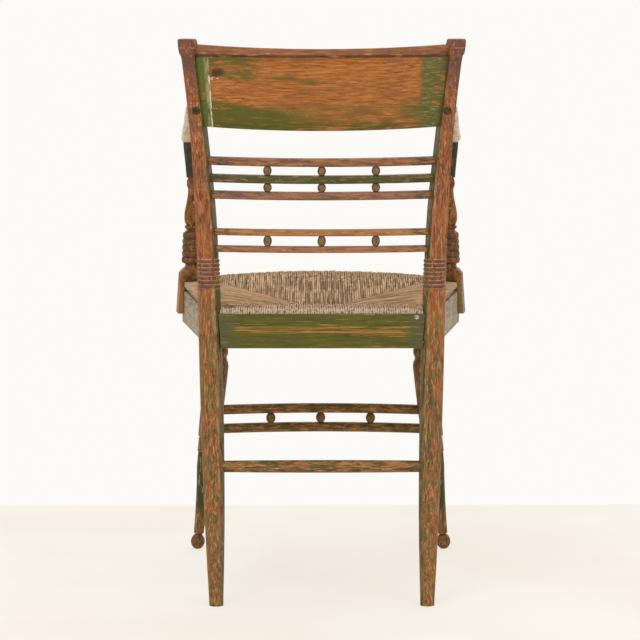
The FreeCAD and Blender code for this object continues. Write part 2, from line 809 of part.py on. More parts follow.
def tenon(start, end, gap=0):
    """A square tenon between two points on its middle line, its top and bottom level."""
    half = size("seat_tenon_width") / 2 + gap
    run = end.sub(start)
    along = run * (1 + gap / run.Length)
    aside = Vector(-along.y, along.x, 0).normalize() * half
    low = Vector(0, 0, -half)
    corners = [start + aside + low, start - aside + low, start - aside - low, start + aside - low]
    return Part.Face(Part.makePolygon(corners + corners[:1])).extrude(along)


def rail_insets():
    """How far the rails' outer faces, inner faces and the front rail's inner face are set in."""
    outer = size("casing_thickness") + size("seat_gap") + size("rush_wrap")
    return outer, outer + size("seat_rail_depth"), outer + size("front_rail_depth")


def seat_rails():
    """Four rails: the side rails are tenoned into the front rail, the rear rail into the posts."""
    bottom, height = size("seat_rail_bottom"), size("seat_rail_height")
    outer, inner, front_inner = rail_insets()
    gap, reach = size("glue_gap"), size("seat_tenon_length")
    centre = bottom + height / 2
    joint = corner_forward(inner, front_inner)
    far = size("seat_front_reach")
    posts = post_pair.Shape
    block = sloped_block(outer, bottom, height)
    low, tall = bottom - height, 3 * height
    frame = block.cut(seat_block(inner, low, tall, front_inner))
    front = frame.common(level_slab(joint, far, low, tall))
    side = frame.common(level_slab(inner + gap, joint - gap, low, tall))
    back = block.common(level_slab(outer, inner, low, tall))
    cheek = (outer + inner) / 2
    pieces = {"seat_rail_front": front, "seat_rail_back": back.cut(posts)}
    front_holes, post_holes_found = [], []
    for label, sign in (("left", 1), ("right", -1)):
        rail = max(side.cut(posts).Solids, key=lambda solid: sign * solid.CenterOfMass.x)
        start, end = [Vector(sign * side_across(place, cheek), SETBACK - place, centre)
                      for place in (joint - reach, joint + reach)]
        pieces[f"seat_rail_{label}"] = rail.fuse(tilted(tenon(start, end)))
        front_holes.append(tilted(tenon(start, end, gap)))
        post = Vector(sign * value(post_across("seat_rail_bottom")), SETBACK - cheek, centre)
        inward = post + Vector(-sign * 2 * reach, 0, 0)
        pieces["seat_rail_back"] = pieces["seat_rail_back"].fuse(tilted(tenon(post, inward)))
        post_holes_found.append(tilted(tenon(post + Vector(sign * gap, 0, 0), inward, gap)))
    socket = leg_socket.Shape
    sockets = [socket, socket.mirror(Vector(0, 0, 0), Vector(1, 0, 0))]
    pieces["seat_rail_front"] = pieces["seat_rail_front"].cut(front_holes + sockets)
    return pieces, post_holes_found


for name, shape in casing_pieces().items():
    feature(name, shape)
rails, rail_tenon_holes = seat_rails()
for name, shape in rails.items():
    feature(name, shape)
post_holes += [feature(f"seat_tenon_hole_{n}", shape) for n, shape in enumerate(rail_tenon_holes)]

# Arms


def wave(steps, reach_from, reach_to, height_from, height_to, first=1):
    """Stations on a half wave between two heights: reach, height and tilt below the level."""
    for step in range(first, steps + 1):
        turn = math.pi * step / steps
        travelled, climbed, slope = step / steps, (1 - math.cos(turn)) / 2, math.pi / 2 * math.sin(turn)
        run, rise = f"(({reach_to}) - ({reach_from}))", f"(({height_to}) - ({height_from}))"
        yield (f"({reach_from} + {travelled} * {run})", f"({height_from} + {climbed:.6f} * {rise})",
               f"(90 deg - atan({slope:.6f} * {rise} / {run}))", travelled)


def arm_stations():
    """Sections along the arm: reach, height, lean, width and thickness shares."""
    roll_reach = f"({support_reach} - arm_roll_radius)"
    at_post, at_dip, at_roll = ARM_WIDTH_SHARES
    for reach, height, lean, travelled in wave(
            ARM_FALL_STEPS, "0", dip_reach, "arm_joint_height", "arm_dip_height", 0):
        if travelled == 0:
            reach = f"(back_face_setback - {post_back('arm_joint_height')} + arm_end_forward)"
        yield reach, height, lean, at_post + travelled * (at_dip - at_post), 1
    for reach, height, lean, travelled in wave(
            ARM_RISE_STEPS, dip_reach, roll_reach, "arm_dip_height", "arm_roll_height"):
        yield reach, height, lean, at_dip + travelled * (at_roll - at_dip), 1
    for step in range(1, ARM_ROLL_STEPS):
        turn = f"({step} * 90 deg / {ARM_ROLL_STEPS})"
        yield (f"({roll_reach} + arm_roll_radius * sin({turn}))",
               f"(arm_roll_height - arm_roll_radius * (1 - cos({turn})))", f"(90 deg + {turn})",
               at_roll, ARM_ROLL_THICKNESS_SHARE)
    stem_top = "(arm_roll_height - arm_roll_radius)"
    for step, (width, thickness) in enumerate(ARM_STEM_SHARES):
        fallen = step / (len(ARM_STEM_SHARES) - 1)
        yield (support_reach, f"({stem_top} - {fallen} * ({stem_top} - support_top))", "180 deg",
               width, thickness)


arm_blank = new_body("arm_blank")


def arm_sections():
    for reach, height, lean, width, thickness in arm_stations():
        across = (f"(arm_joint_half_spacing + (arm_front_half_spacing - arm_joint_half_spacing)"
                  f" * min(1; {reach} / {dip_reach}))")
        yield (across, f"(back_face_setback - {reach})", height, about("x", lean),
               f"{width} * arm_width", f"{thickness} * arm_thickness",
               f"{ARM_EASE_SHARE} * arm_thickness")


loft(arm_blank, "scroll", arm_sections()).Ruled = True

# Arm supports


def support_profile():
    """Half outline of an arm support from its base to the tenon in the arm."""
    step = "support_ridge_depth"
    points = [
        ("support_base_half_depth", f"support_base_top - {step}"),
        ("support_base_half_depth", "support_base_top"),
        ("support_neck_radius", "(support_base_top + support_bulb_bottom) / 2"),
        ("support_neck_radius", f"support_bulb_bottom - {step}"),
    ]
    for ridge in range(2 * SUPPORT_RIDGES + 1):
        share = ridge / (2 * SUPPORT_RIDGES)
        swell = f"{share} * (support_bulb_top_radius - support_bulb_radius)"
        groove = "0" if ridge % 2 else step
        points.append((f"support_bulb_radius + {swell} - {groove}",
                       f"support_bulb_bottom + {share} * support_bulb_height"))
    radius_share, reach_share = VASE_SHOULDER_SHARES
    reach = f"{reach_share} * (support_vase_height - support_ring_height)"
    points += [
        ("support_waist_radius", f"support_bulb_bottom + support_bulb_height + 2 * {step}"),
        ("support_waist_radius", f"support_ring_height - 2 * {step}"),
        ("support_ring_radius", "support_ring_height"),
        ("support_waist_radius", f"support_ring_height + 2 * {step}"),
        (f"{radius_share} * support_vase_radius", f"support_vase_height - {reach}"),
        ("support_vase_radius", "support_vase_height"),
        (f"{radius_share} * support_vase_radius", f"support_vase_height + {reach}"),
        ("support_throat_radius", "support_throat_height"),
        ("support_bead_radius", "(support_throat_height + support_top) / 2"),
        ("support_throat_radius", "support_top"), ("support_tenon_radius", "support_top"),
        ("support_tenon_radius", "support_top + support_tenon_length"),
    ]
    return points


support_place = ("arm_front_half_spacing", f"back_face_setback - {support_reach}", "0",
                 about("z", "seat_splay_angle"))
support_turning = turned("support_turning", support_profile(), TURNING_SIDES)
place(support_turning, *support_place)
support_base = new_body("support_base")
base = empty_sketch(support_base, "base", "XZ_Plane")
lap_inner = (f"((seat_back_half_width + {support_reach} * tan(seat_splay_angle) - arm_front_half_spacing)"
             " * cos(seat_splay_angle) + seat_gap)")
seat_top = ("(seat_rail_bottom + seat_rail_height + glue_gap"
            f" + ({support_reach} + support_base_half_depth) * tan(seat_tilt_angle))")
draw_outline(base, (
    ("-support_base_half_depth", seat_top), (lap_inner, seat_top), (lap_inner, "support_lap_bottom"),
    (f"{lap_inner} + support_lap_thickness", "support_lap_bottom"),
    (f"{lap_inner} + support_lap_top_thickness", "support_shoulder_height"),
    ("support_base_half_depth", "support_base_top"), ("-support_base_half_depth", "support_base_top"),
))
base_pad = support_base.newObject("PartDesign::Pad", "arm_support_base_pad")
base_pad.Profile = base
base_pad.Midplane = True
base_pad.setExpression("Length", bound("2 * support_base_half_depth"))
place(support_base, *support_place)
support = joined("arm_support_left", [support_turning, support_base])
mirrored("arm_support_right", support)


def cylinder(name, radius, length, across, back, up, rotation):
    item = doc.addObject("Part::Cylinder", name)
    item.setExpression("Radius", bound(radius))
    item.setExpression("Height", bound(length))
    place(item, across, back, up, rotation)
    return item


# The arm's round tenon runs into the post, and the post's plug covers the screw hole behind it
arm_end = f"({post_back('arm_joint_height')} - arm_tenon_length / 2)"
tenon_length = "post_depth / 2 + arm_tenon_length"
arm_dowel = cylinder("arm_dowel", "arm_tenon_radius", tenon_length, "arm_joint_half_spacing",
                     arm_end, "arm_joint_height", about("x", "90"))
post_holes.append(cylinder("arm_dowel_hole", "arm_tenon_radius + glue_gap", tenon_length,
                           "arm_joint_half_spacing", f"{arm_end} + glue_gap", "arm_joint_height",
                           about("x", "90")))
support_hole = cylinder("support_hole", "support_tenon_radius + glue_gap",
                        "2 * support_tenon_length + glue_gap", "arm_front_half_spacing",
                        f"back_face_setback - {support_reach}", "support_top - support_tenon_length",
                        about("z", "0"))
arm_shouldered = boolean("Cut", "arm_shouldered", arm_blank, post_blank)
arm_joined = joined("arm_joined", [arm_shouldered, arm_dowel])
mirrored("arm_right", boolean("Cut", "arm_left", arm_joined, support_hole))

post_depth_share = UPPER_STATION_SHARES[-2][2]
plug_face = f"({post_back('arm_joint_height')} + {post_depth_share} * post_depth / 2 / cos(post_turn_angle))"
plug_lean = f"-{rake('arm_joint_height')}"
plug_turn = f"{about('z', '-post_turn_angle')} * {about('x', plug_lean)} * {about('x', '-90')}"


def plug(name, gap):
    piece = turned(name, (
        (f"plug_radius + {gap}", f"-plug_depth - {gap}"), (f"plug_radius + {gap}", "0"),
        (f"{PLUG_DOME_SHARE} * plug_radius", "plug_dome")), TURNING_SIDES)
    place(piece, post_across("arm_joint_height"), plug_face, "arm_joint_height", plug_turn)
    return piece


mirrored("screw_plug_right", plug("screw_plug_left", "0"))
post_holes.append(plug("plug_hole", "glue_gap"))

post_cuts = joined("post_cuts", post_holes)
mirrored("back_post_right", boolean("Cut", "back_post_left", post_blank, post_cuts))
doc.recompute()


def dish(block_top, inset):
    """The hollow of the seat: four fields of plane facets that fall to a seam across the middle."""
    low = block_top - size("rush_dish_depth")
    centre, radius = front_arc()
    radius -= inset
    corner = side_across(corner_forward(inset), inset)
    half, seam = size("rush_seam_half_length"), SETBACK - size("rush_seam_setback")
    seam_back, seam_front = [seam + side * size("rush_seam_width") / 2 for side in (1, -1)]
    rim = [Vector(sign * side_across(inset, inset), SETBACK - inset, block_top) for sign in (-1, 1)]
    bottom = [Vector(sign * half, seam_back, low) for sign in (-1, 1)]
    for step in range(DISH_FRONT_FACETS + 1):
        share = 1 - 2 * step / DISH_FRONT_FACETS
        forward = centre + math.sqrt(radius ** 2 - (share * corner) ** 2)
        rim.append(Vector(share * corner, SETBACK - forward, block_top))
        bottom.append(Vector(share * half, seam_front, low))
    outlines = [rim, bottom]
    for number, start in enumerate(rim):
        following = (number + 1) % len(rim)
        outlines += [[start, rim[following], bottom[number]],
                     [rim[following], bottom[following], bottom[number]]]
    shell = Part.Shell([Part.Face(Part.makePolygon(outline + outline[:1])) for outline in outlines])
    shell.sewShape()
    hollow = Part.makeSolid(shell)
    if hollow.Volume < 0:
        hollow.reverse()
    return hollow


def clearance(across, back, half_width, half_depth, angle, low, high):
    """A square hole for what stands in the rush, turned in plan by an angle in degrees."""
    gap = size("seat_gap")
    corner = Vector(-half_width - gap, -half_depth - gap, low)
    block = Part.makeBox(2 * (half_width + gap), 2 * (half_depth + gap), high - low, corner)
    block.rotate(Vector(0, 0, 0), Vector(0, 0, 1), angle)
    block.translate(Vector(across, back, 0))
    return block


def woven_seat():
    """The rush: a dished block over the rails, cleared round what stands in it."""
    gap, bottom, height = size("seat_gap"), size("seat_rail_bottom"), size("seat_rail_height")
    low, top = bottom - size("rush_under_wrap"), bottom + height + size("rush_crown")
    inset = size("casing_thickness") + gap
    block = sloped_block(inset, low, top - low)
    rims = [edge for edge in block.Edges if edge.BoundBox.ZLength < height]
    block = block.makeChamfer(size("rush_edge_ease"), rims)
    block = block.cut(tilted(dish(top, inset + size("rush_crown_width"))))
    outer, inner, front_inner = rail_insets()
    channel = sloped_block(outer - gap, bottom - gap, height + 2 * gap)
    channel = channel.cut(seat_block(inner + gap, bottom - height, 3 * height, front_inner + gap))
    rush = block.cut(channel)
    under, over = low - height, top + height
    post_low, post_high = [(value(post_across(f"{level}")), value(post_back(f"{level}")))
                           for level in (low, top)]
    across_lean, back_lean = post_high[0] - post_low[0], post_low[1] - post_high[1]
    leg_half = size("leg_neck_radius") + size("leg_ring_groove")
    base_half = size("support_base_half_depth")
    rail_top = value(seat_top)
    holes = [
        ((post_low[0] + post_high[0]) / 2, (post_low[1] + post_high[1]) / 2,
         size("post_width") / 2 + across_lean, size("post_depth") / 2 + back_lean,
         -size("post_turn_angle"), under, over),
        (value(leg_across(f"{low}")), value(leg_back(f"{low}")), leg_half, leg_half, 0, under,
         bottom + height),
        (size("arm_front_half_spacing"), SETBACK - value(support_reach), base_half, base_half,
         size("seat_splay_angle"), rail_top - gap, over),
    ]
    cuts = []
    for hole in holes:
        block = clearance(*hole)
        cuts += [block, block.mirror(Vector(0, 0, 0), Vector(1, 0, 0))]
    return rush.cut(cuts)


feature("rush_seat", woven_seat())
NODES = ["back_post_left", "back_post_right", "crest_rail", "front_leg_left", "front_leg_right"]
NODES += [f"back_rail_{n}" for n in range(1, 6)] + [f"back_ball_{n}" for n in range(1, back_ball_number + 1)]
NODES += [f"front_stretcher_{tier}" for tier in ("upper", "lower")] + ["rear_stretcher"]
NODES += [f"stretcher_ball_{n}" for n in range(1, len(BALL_PLACES) + 1)]
NODES += [f"side_stretcher_{side}_{tier}" for side in ("left", "right") for tier in ("upper", "lower")]
NODES += [f"seat_rail_{side}" for side in ("front", "back", "left", "right")]
NODES += [f"casing_{side}" for side in ("front", "back", "left", "right")] + ["rush_seat"]
NODES += [f"{piece}_{side}" for piece in ("arm", "arm_support", "screw_plug") for side in ("left", "right")]

doc.recompute()
failed = [item.Label for item in doc.Objects if "Invalid" in item.State or "Error" in item.State]
if failed:
    raise RuntimeError(f"features not built: {failed}")
os.makedirs("parts", exist_ok=True)
for name in NODES:
    shape = doc.getObject(name).Shape
    if shape.isNull() or not shape.isValid():
        raise RuntimeError(f"{name} has no valid shape")
    shape.exportStep(f"parts/{name}.step")
    print(name, len(shape.Solids), len(shape.Faces), round(shape.Volume))
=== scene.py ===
import bpy
import bmesh
import math
import random
from mathutils import Matrix, Vector


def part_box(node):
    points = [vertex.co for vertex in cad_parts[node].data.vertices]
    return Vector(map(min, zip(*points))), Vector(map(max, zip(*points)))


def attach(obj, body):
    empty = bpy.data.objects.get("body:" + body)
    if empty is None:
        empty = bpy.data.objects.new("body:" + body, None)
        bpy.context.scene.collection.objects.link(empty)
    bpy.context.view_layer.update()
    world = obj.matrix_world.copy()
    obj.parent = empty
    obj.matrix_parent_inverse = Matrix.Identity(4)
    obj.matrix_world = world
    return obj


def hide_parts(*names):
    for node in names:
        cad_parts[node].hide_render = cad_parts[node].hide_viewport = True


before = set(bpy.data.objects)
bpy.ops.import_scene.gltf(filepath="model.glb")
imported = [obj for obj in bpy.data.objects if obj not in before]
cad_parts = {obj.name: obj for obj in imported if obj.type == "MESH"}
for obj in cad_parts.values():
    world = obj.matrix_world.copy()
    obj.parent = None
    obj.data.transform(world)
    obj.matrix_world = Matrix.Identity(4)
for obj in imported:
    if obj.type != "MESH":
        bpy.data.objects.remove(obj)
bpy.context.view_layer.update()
print("frame loaded:", len(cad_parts), "nodes")

# camera, fitted to the photograph: seen from behind, a little above the seat
cameraSetup = dict(place=(0.022, 5.2505, 1.0654), look=(-0.0038, -0.9924, -0.1231), lens=185.6)
camera = bpy.data.objects.new("camera", bpy.data.cameras.new("camera"))
bpy.context.scene.collection.objects.link(camera)
camera.location = cameraSetup["place"]
camera.rotation_euler = Vector(cameraSetup["look"]).to_track_quat("-Z", "Y").to_euler()
camera.data.lens = cameraSetup["lens"]
camera.data.clip_end = 60
bpy.context.scene.camera = camera
bpy.context.scene.view_settings.view_transform = "Standard"


# node helpers

def paint(red, green, blue):
    shares = [channel / 255 for channel in (red, green, blue)]
    return tuple(c / 12.92 if c <= 0.04045 else ((c + 0.055) / 1.055) ** 2.4 for c in shares) + (1.0,)


def newMaterial(name):
    material = bpy.data.materials.new(name)
    material.use_nodes = True
    return material, material.node_tree, material.node_tree.nodes["Principled BSDF"]


def shared(tree, key, make):
    # one node of a kind for the whole tree
    found = tree.nodes.get(key)
    if found is None:
        found = make()
        found.name = key
    return found


def coordinates(tree):
    return shared(tree, "place", lambda: tree.nodes.new("ShaderNodeTexCoord"))


def maths(tree, operation, first, second=0.0):
    node = tree.nodes.new("ShaderNodeMath")
    node.operation = operation
    for number, item in enumerate((first, second)):
        if isinstance(item, (int, float)):
            node.inputs[number].default_value = item
        else:
            tree.links.new(item, node.inputs[number])
    return node.outputs[0]


def split(tree, key, socket):
    def make():
        node = tree.nodes.new("ShaderNodeSeparateXYZ")
        tree.links.new(socket, node.inputs[0])
        return node
    return shared(tree, key, make)


def axisValue(tree, axis):
    parts = split(tree, "placeParts", coordinates(tree).outputs["Object"])
    if axis == "side":
        return maths(tree, "ABSOLUTE", parts.outputs["X"])
    return parts.outputs[axis.upper()]


def mirroredNormal(tree):
    # the normal with its x turned so that 1 looks to the chair's middle, on either side
    def make():
        parts = split(tree, "normalParts", coordinates(tree).outputs["Normal"])
        across = split(tree, "placeParts", coordinates(tree).outputs["Object"]).outputs["X"]
        inward = maths(tree, "MULTIPLY", maths(tree, "SIGN", across),
                       maths(tree, "MULTIPLY", parts.outputs["X"], -1.0))
        node = tree.nodes.new("ShaderNodeCombineXYZ")
        tree.links.new(inward, node.inputs[0])
        tree.links.new(parts.outputs["Y"], node.inputs[1])
        tree.links.new(parts.outputs["Z"], node.inputs[2])
        return node
    return shared(tree, "mirroredNormal", make).outputs[0]


def ramp(tree, socket, low, high):
    node = tree.nodes.new("ShaderNodeMapRange")
    node.interpolation_type = "SMOOTHSTEP"
    tree.links.new(socket, node.inputs["Value"])
    node.inputs["From Min"].default_value = low
    node.inputs["From Max"].default_value = high
    return node.outputs["Result"]


def cloud(tree, scale, seed=0.0, detail=4.0, rough=0.6):
    mapping = tree.nodes.new("ShaderNodeMapping")
    mapping.inputs["Scale"].default_value = scale
    mapping.inputs["Location"].default_value = (seed, seed * 1.7, seed * 0.6)
    tree.links.new(coordinates(tree).outputs["Object"], mapping.inputs["Vector"])
    node = tree.nodes.new("ShaderNodeTexNoise")
    node.inputs["Scale"].default_value = 1.0
    node.inputs["Detail"].default_value = detail
    node.inputs["Roughness"].default_value = rough
    tree.links.new(mapping.outputs[0], node.inputs["Vector"])
    return node.outputs[0]


def place(tree, rule):
    # a rule: an axis, "side" or "facing" with where it starts and is full, or one of the shapes below
    if rule[0] == "facing":
        node = tree.nodes.new("ShaderNodeVectorMath")
        node.operation = "DOT_PRODUCT"
        tree.links.new(mirroredNormal(tree), node.inputs[0])
        node.inputs[1].default_value = rule[1]
        return ramp(tree, node.outputs["Value"], rule[2], rule[3])
    if rule[0] == "spot":
        # an ellipse: its middle, its half sizes, and how soft its edge is
        mapping = tree.nodes.new("ShaderNodeMapping")
        mapping.vector_type = "TEXTURE"
        mapping.inputs["Location"].default_value = rule[1]
        mapping.inputs["Scale"].default_value = rule[2]
        tree.links.new(coordinates(tree).outputs["Object"], mapping.inputs["Vector"])
        node = tree.nodes.new("ShaderNodeVectorMath")
        node.operation = "LENGTH"
        tree.links.new(mapping.outputs[0], node.inputs[0])
        return ramp(tree, node.outputs["Value"], 1 + rule[3], 1 - rule[3])
    if rule[0] == "slant":
        # a line across the piece: its direction, and how far along it the mask starts and is full
        node = tree.nodes.new("ShaderNodeVectorMath")
        node.operation = "DOT_PRODUCT"
        tree.links.new(coordinates(tree).outputs["Object"], node.inputs[0])
        node.inputs[1].default_value = rule[1]
        return ramp(tree, node.outputs["Value"], rule[2], rule[3])
    if rule[0] == "grooves":
        # every groove of a band: its foot, its pitch, and how near its bottom the mask starts and is full
        rise = maths(tree, "DIVIDE", maths(tree, "SUBTRACT", axisValue(tree, "z"), rule[1]), rule[2])
        away = maths(tree, "ABSOLUTE", maths(tree, "SUBTRACT", maths(tree, "FRACT", rise), 0.5))
        return ramp(tree, away, rule[3], rule[4])
    return ramp(tree, axisValue(tree, rule[0]), rule[1], rule[2])


def blendColours(tree, factor, first, second):
    node = tree.nodes.new("ShaderNodeMix")
    node.data_type = "RGBA"
    tree.links.new(factor, node.inputs[0])
    for socket, item in ((node.inputs[6], first), (node.inputs[7], second)):
        if isinstance(item, tuple):
            socket.default_value = item
        else:
            tree.links.new(item, socket)
    return node.outputs[2]


def dress(tree, shader, sheen, rough, specular, height, strength, distance):
    # roughness between two values by one noise, and relief by another
    node = tree.nodes.new("ShaderNodeMapRange")
    tree.links.new(sheen, node.inputs["Value"])
    node.inputs["To Min"].default_value, node.inputs["To Max"].default_value = rough
    tree.links.new(node.outputs["Result"], shader.inputs["Roughness"])
    shader.inputs["Specular IOR Level"].default_value = specular
    bump = tree.nodes.new("ShaderNodeBump")
    bump.inputs["Strength"].default_value = strength
    bump.inputs["Distance"].default_value = distance
    tree.links.new(height, bump.inputs["Height"])
    tree.links.new(bump.outputs[0], shader.inputs["Normal"])


finishSetup = dict(seedStep=3.1, firstSeed=1.3, sheenCloud=(40, 40, 40), sheenSeed=9.0, sheenRange=0.14,
                   specular=0.22, relief=0.0012, rich=1.12, deep=0.84)


def coat(colour, cloud=None, start=0.0, full=1.0, amount=1.0, **more):
    # a coat of paint, wear or painted shade: the noise that breaks it up, where that starts and is full, and
    # its strength
    return dict(more, colour=colour, cloud=cloud, start=start, full=full, amount=amount)


def wornFinish(name, look):
    # wood grain first, then each coat, wear, scratch or painted shade over it
    material, tree, shader = newMaterial(name)
    grain = cloud(tree, look["grain"], look.get("seed", 0.0), 6.0, 0.65)
    colour = blendColours(tree, ramp(tree, grain, 0.36, 0.64), paint(*look["tones"][0]),
                          paint(*look["tones"][1]))
    height = grain
    for number, layer in enumerate(look["layers"]):
        factor = None
        if layer["cloud"]:
            seed = layer.get("seed", number * finishSetup["seedStep"] + finishSetup["firstSeed"])
            factor = ramp(tree, cloud(tree, layer["cloud"], seed, 5.0, 0.62), layer["start"], layer["full"])
        for rule in layer.get("where", ()):
            found = place(tree, rule)
            factor = found if factor is None else maths(tree, "MULTIPLY", factor, found)
        factor = maths(tree, "MULTIPLY", factor, layer["amount"])
        colour = blendColours(tree, factor, colour, paint(*layer["colour"]))
        if layer.get("raised"):
            height = maths(tree, "ADD", height, maths(tree, "MULTIPLY", factor, layer["raised"]))
    tuned = tree.nodes.new("ShaderNodeHueSaturation")
    tuned.inputs["Saturation"].default_value = look.get("rich", finishSetup["rich"])
    tuned.inputs["Value"].default_value = look.get("deep", finishSetup["deep"])
    tree.links.new(colour, tuned.inputs["Color"])
    tree.links.new(tuned.outputs[0], shader.inputs["Base Color"])
    sheen = cloud(tree, finishSetup["sheenCloud"], finishSetup["sheenSeed"], 3.0, 0.5)
    dress(tree, shader, sheen, (look["rough"] - finishSetup["sheenRange"],
                                look["rough"] + finishSetup["sheenRange"]),
          look.get("specular", finishSetup["specular"]), height, look["bump"], finishSetup["relief"])
    return material


# mesh helpers

def makePiece(name, bm, material, stands=(), smooth=38):
    bmesh.ops.recalc_face_normals(bm, faces=bm.faces)
    for face in bm.faces:
        face.smooth = True
    mesh = bpy.data.meshes.new(name)
    bm.to_mesh(mesh)
    bm.free()
    mesh.set_sharp_from_angle(angle=math.radians(smooth))
    piece = bpy.data.objects.new(name, mesh)
    bpy.context.scene.collection.objects.link(piece)
    mesh.materials.append(material)
    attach(piece, "root")
    if stands:
        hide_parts(*stands)
    return piece


def otherSide(bm):
    bmesh.ops.scale(bm, vec=(-1, 1, 1), verts=bm.verts)


def makePair(name, shape, material, node):
    # the same piece on the left, and mirrored on the right
    for label in ("left", "right"):
        bm = shape()
        if label == "right":
            otherSide(bm)
        makePiece(f"{name}_{label}", bm, material, [f"{node}_{label}"])


def roundedRing(bm, matrix, width, depth, corner, points=28):
    # a circle pushed out to a rectangle with round corners
    ring = bmesh.ops.create_circle(bm, cap_ends=False, segments=points, radius=1.0)["verts"]
    corner = min(corner, width / 2 * 0.999, depth / 2 * 0.999)
    perCorner = points // 4
    for number, vert in enumerate(ring):
        quarter, step = divmod(number, perCorner)
        turn = math.pi / 2 * (quarter + step / (perCorner - 1))
        signX = 1 if quarter in (0, 3) else -1
        signY = 1 if quarter in (0, 1) else -1
        vert.co = matrix @ Vector((signX * (width / 2 - corner) + corner * math.cos(turn),
                                   signY * (depth / 2 - corner) + corner * math.sin(turn), 0))
    return [edge for edge in bm.edges if edge.verts[0] in ring and edge.verts[1] in ring]


def loftRings(rings):
    bm = bmesh.new()
    loops = [roundedRing(bm, *ring) for ring in rings]
    for lower, upper in zip(loops, loops[1:]):
        bmesh.ops.bridge_loops(bm, edges=lower + upper)
    for end in (loops[0], loops[-1]):
        bmesh.ops.contextual_create(bm, geom=end)
    return bm


def turnedShape(outline, matrix, steps=40, floor=False):
    bm = bmesh.new()
    line = [bm.verts.new((radius, 0, height)) for radius, height in outline]
    edges = [bm.edges.new(pair) for pair in zip(line, line[1:])]
    bmesh.ops.spin(bm, geom=line + edges, cent=(0, 0, 0), axis=(0, 0, 1), angle=2 * math.pi, steps=steps,
                   use_merge=True)
    bmesh.ops.remove_doubles(bm, verts=bm.verts, dist=1e-6)
    bmesh.ops.transform(bm, matrix=matrix, verts=bm.verts)
    if floor:
        cut = bmesh.ops.bisect_plane(bm, geom=bm.verts[:] + bm.edges[:] + bm.faces[:], dist=1e-6,
                                     plane_co=(0, 0, 0.00001), plane_no=(0, 0, 1), clear_inner=True)
        bmesh.ops.contextual_create(bm, geom=[e for e in cut["geom_cut"] if isinstance(e,
                                                                                       bmesh.types.BMEdge)])
    return bm


def arcPoints(low, high, radius, swell, count=7):
    # a bead on a turning, from one height to another
    points = []
    for step in range(count + 1):
        share = step / count
        points.append((radius + swell * math.sin(math.pi * share),
                       low + (high - low) * (0.5 - 0.5 * math.cos(math.pi * share))))
    return points


def smoothTable(table, share):
    # a smooth run through a table of rows whose first number is the share of the way
    for index in range(len(table) - 1):
        if share <= table[index + 1][0] or index == len(table) - 2:
            before = table[max(index - 1, 0)]
            start, end = table[index], table[index + 1]
            after = table[min(index + 2, len(table) - 1)]
            t = (share - start[0]) / (end[0] - start[0])
            row = []
            for a, b, c, d in zip(before[1:], start[1:], end[1:], after[1:]):
                row.append(0.5 * (2 * b + (c - a) * t + (2 * a - 5 * b + 4 * c - d) * t * t
                                  + (3 * b - a - 3 * c + d) * t ** 3))
            return row


# the chair's lines, in metres, as the frame has them

chairLines = dict(setback=0.17547, postForward=0.014, postHalf=0.175, footHalf=0.163, bandBottom=0.484,
                  bandTop=0.530, sweepRadius=1.458, sweepHeight=0.480, bendRadius=1.080, bendHeight=0.520,
                  flareShare=0.0212, flareRadius=3.450, legFootHalf=0.208, legFootReach=0.392,
                  legSplay=math.radians(6.3), legRake=math.radians(4.0), splay=math.radians(9.1),
                  tilt=math.radians(1.7), postTurn=math.radians(15), overall=0.872, seatHalf=0.1747,
                  seatFoot=0.411)


def postAcross(height):
    rise = height - chairLines["bandBottom"]
    if rise > 0:
        bend = rise ** 2 / (2 * chairLines["flareRadius"])
        return chairLines["postHalf"] + chairLines["flareShare"] * rise + bend
    spread = chairLines["postHalf"] - chairLines["footHalf"]
    return chairLines["footHalf"] + spread * height / chairLines["bandBottom"]


def postBack(height):
    fall = max(0.0, chairLines["sweepHeight"] - height)
    rise = max(0.0, height - chairLines["bendHeight"])
    foot = chairLines["sweepRadius"] - math.sqrt(chairLines["sweepRadius"] ** 2 - fall ** 2)
    bend = chairLines["bendRadius"] - math.sqrt(chairLines["bendRadius"] ** 2 - rise ** 2)
    return chairLines["setback"] - chairLines["postForward"] + foot + bend


def backLean(height):
    return math.asin((height - chairLines["bendHeight"]) / chairLines["bendRadius"])


def legAcross(height):
    lean = math.tan(chairLines["legSplay"]) / math.cos(chairLines["legRake"])
    return chairLines["legFootHalf"] - height * lean


def legBack(height):
    return chairLines["setback"] - chairLines["legFootReach"] + height * math.tan(chairLines["legRake"])


# back posts

postShape = dict(
    width=0.036, depth=0.036, finialWidth=0.0255, finialDepth=0.0285, finialBottom=0.847,
    ridges=7, ridgeHalf=0.0177, grooveDepth=0.0014, ringCorner=0.46,
    leg=((0.0, 0.60, 0.61, 0.48), (0.124, 0.735, 0.735, 0.48), (0.269, 0.86, 0.86, 0.48),
         (0.455, 0.945, 0.945, 0.47), (0.68, 0.99, 0.99, 0.46), (1.0, 0.975, 0.975, 0.46)),
    upper=((0.0, 0.961, 0.961, 0.46), (0.05, 0.84, 0.91, 0.36), (0.115, 0.785, 0.895, 0.22),
           (0.29, 0.75, 0.861, 0.2), (0.52, 0.653, 0.806, 0.2), (0.74, 0.611, 0.778, 0.2),
           (1.0, 0.583, 0.722, 0.2)),
    finial=((0.0, 0.84, 0.92, 0.16), (0.1, 0.97, 0.98, 0.15), (0.45, 1.0, 1.0, 0.15),
            (0.85, 0.97, 0.97, 0.16),
            (0.95, 0.93, 0.94, 0.18), (1.0, 0.86, 0.88, 0.2)))

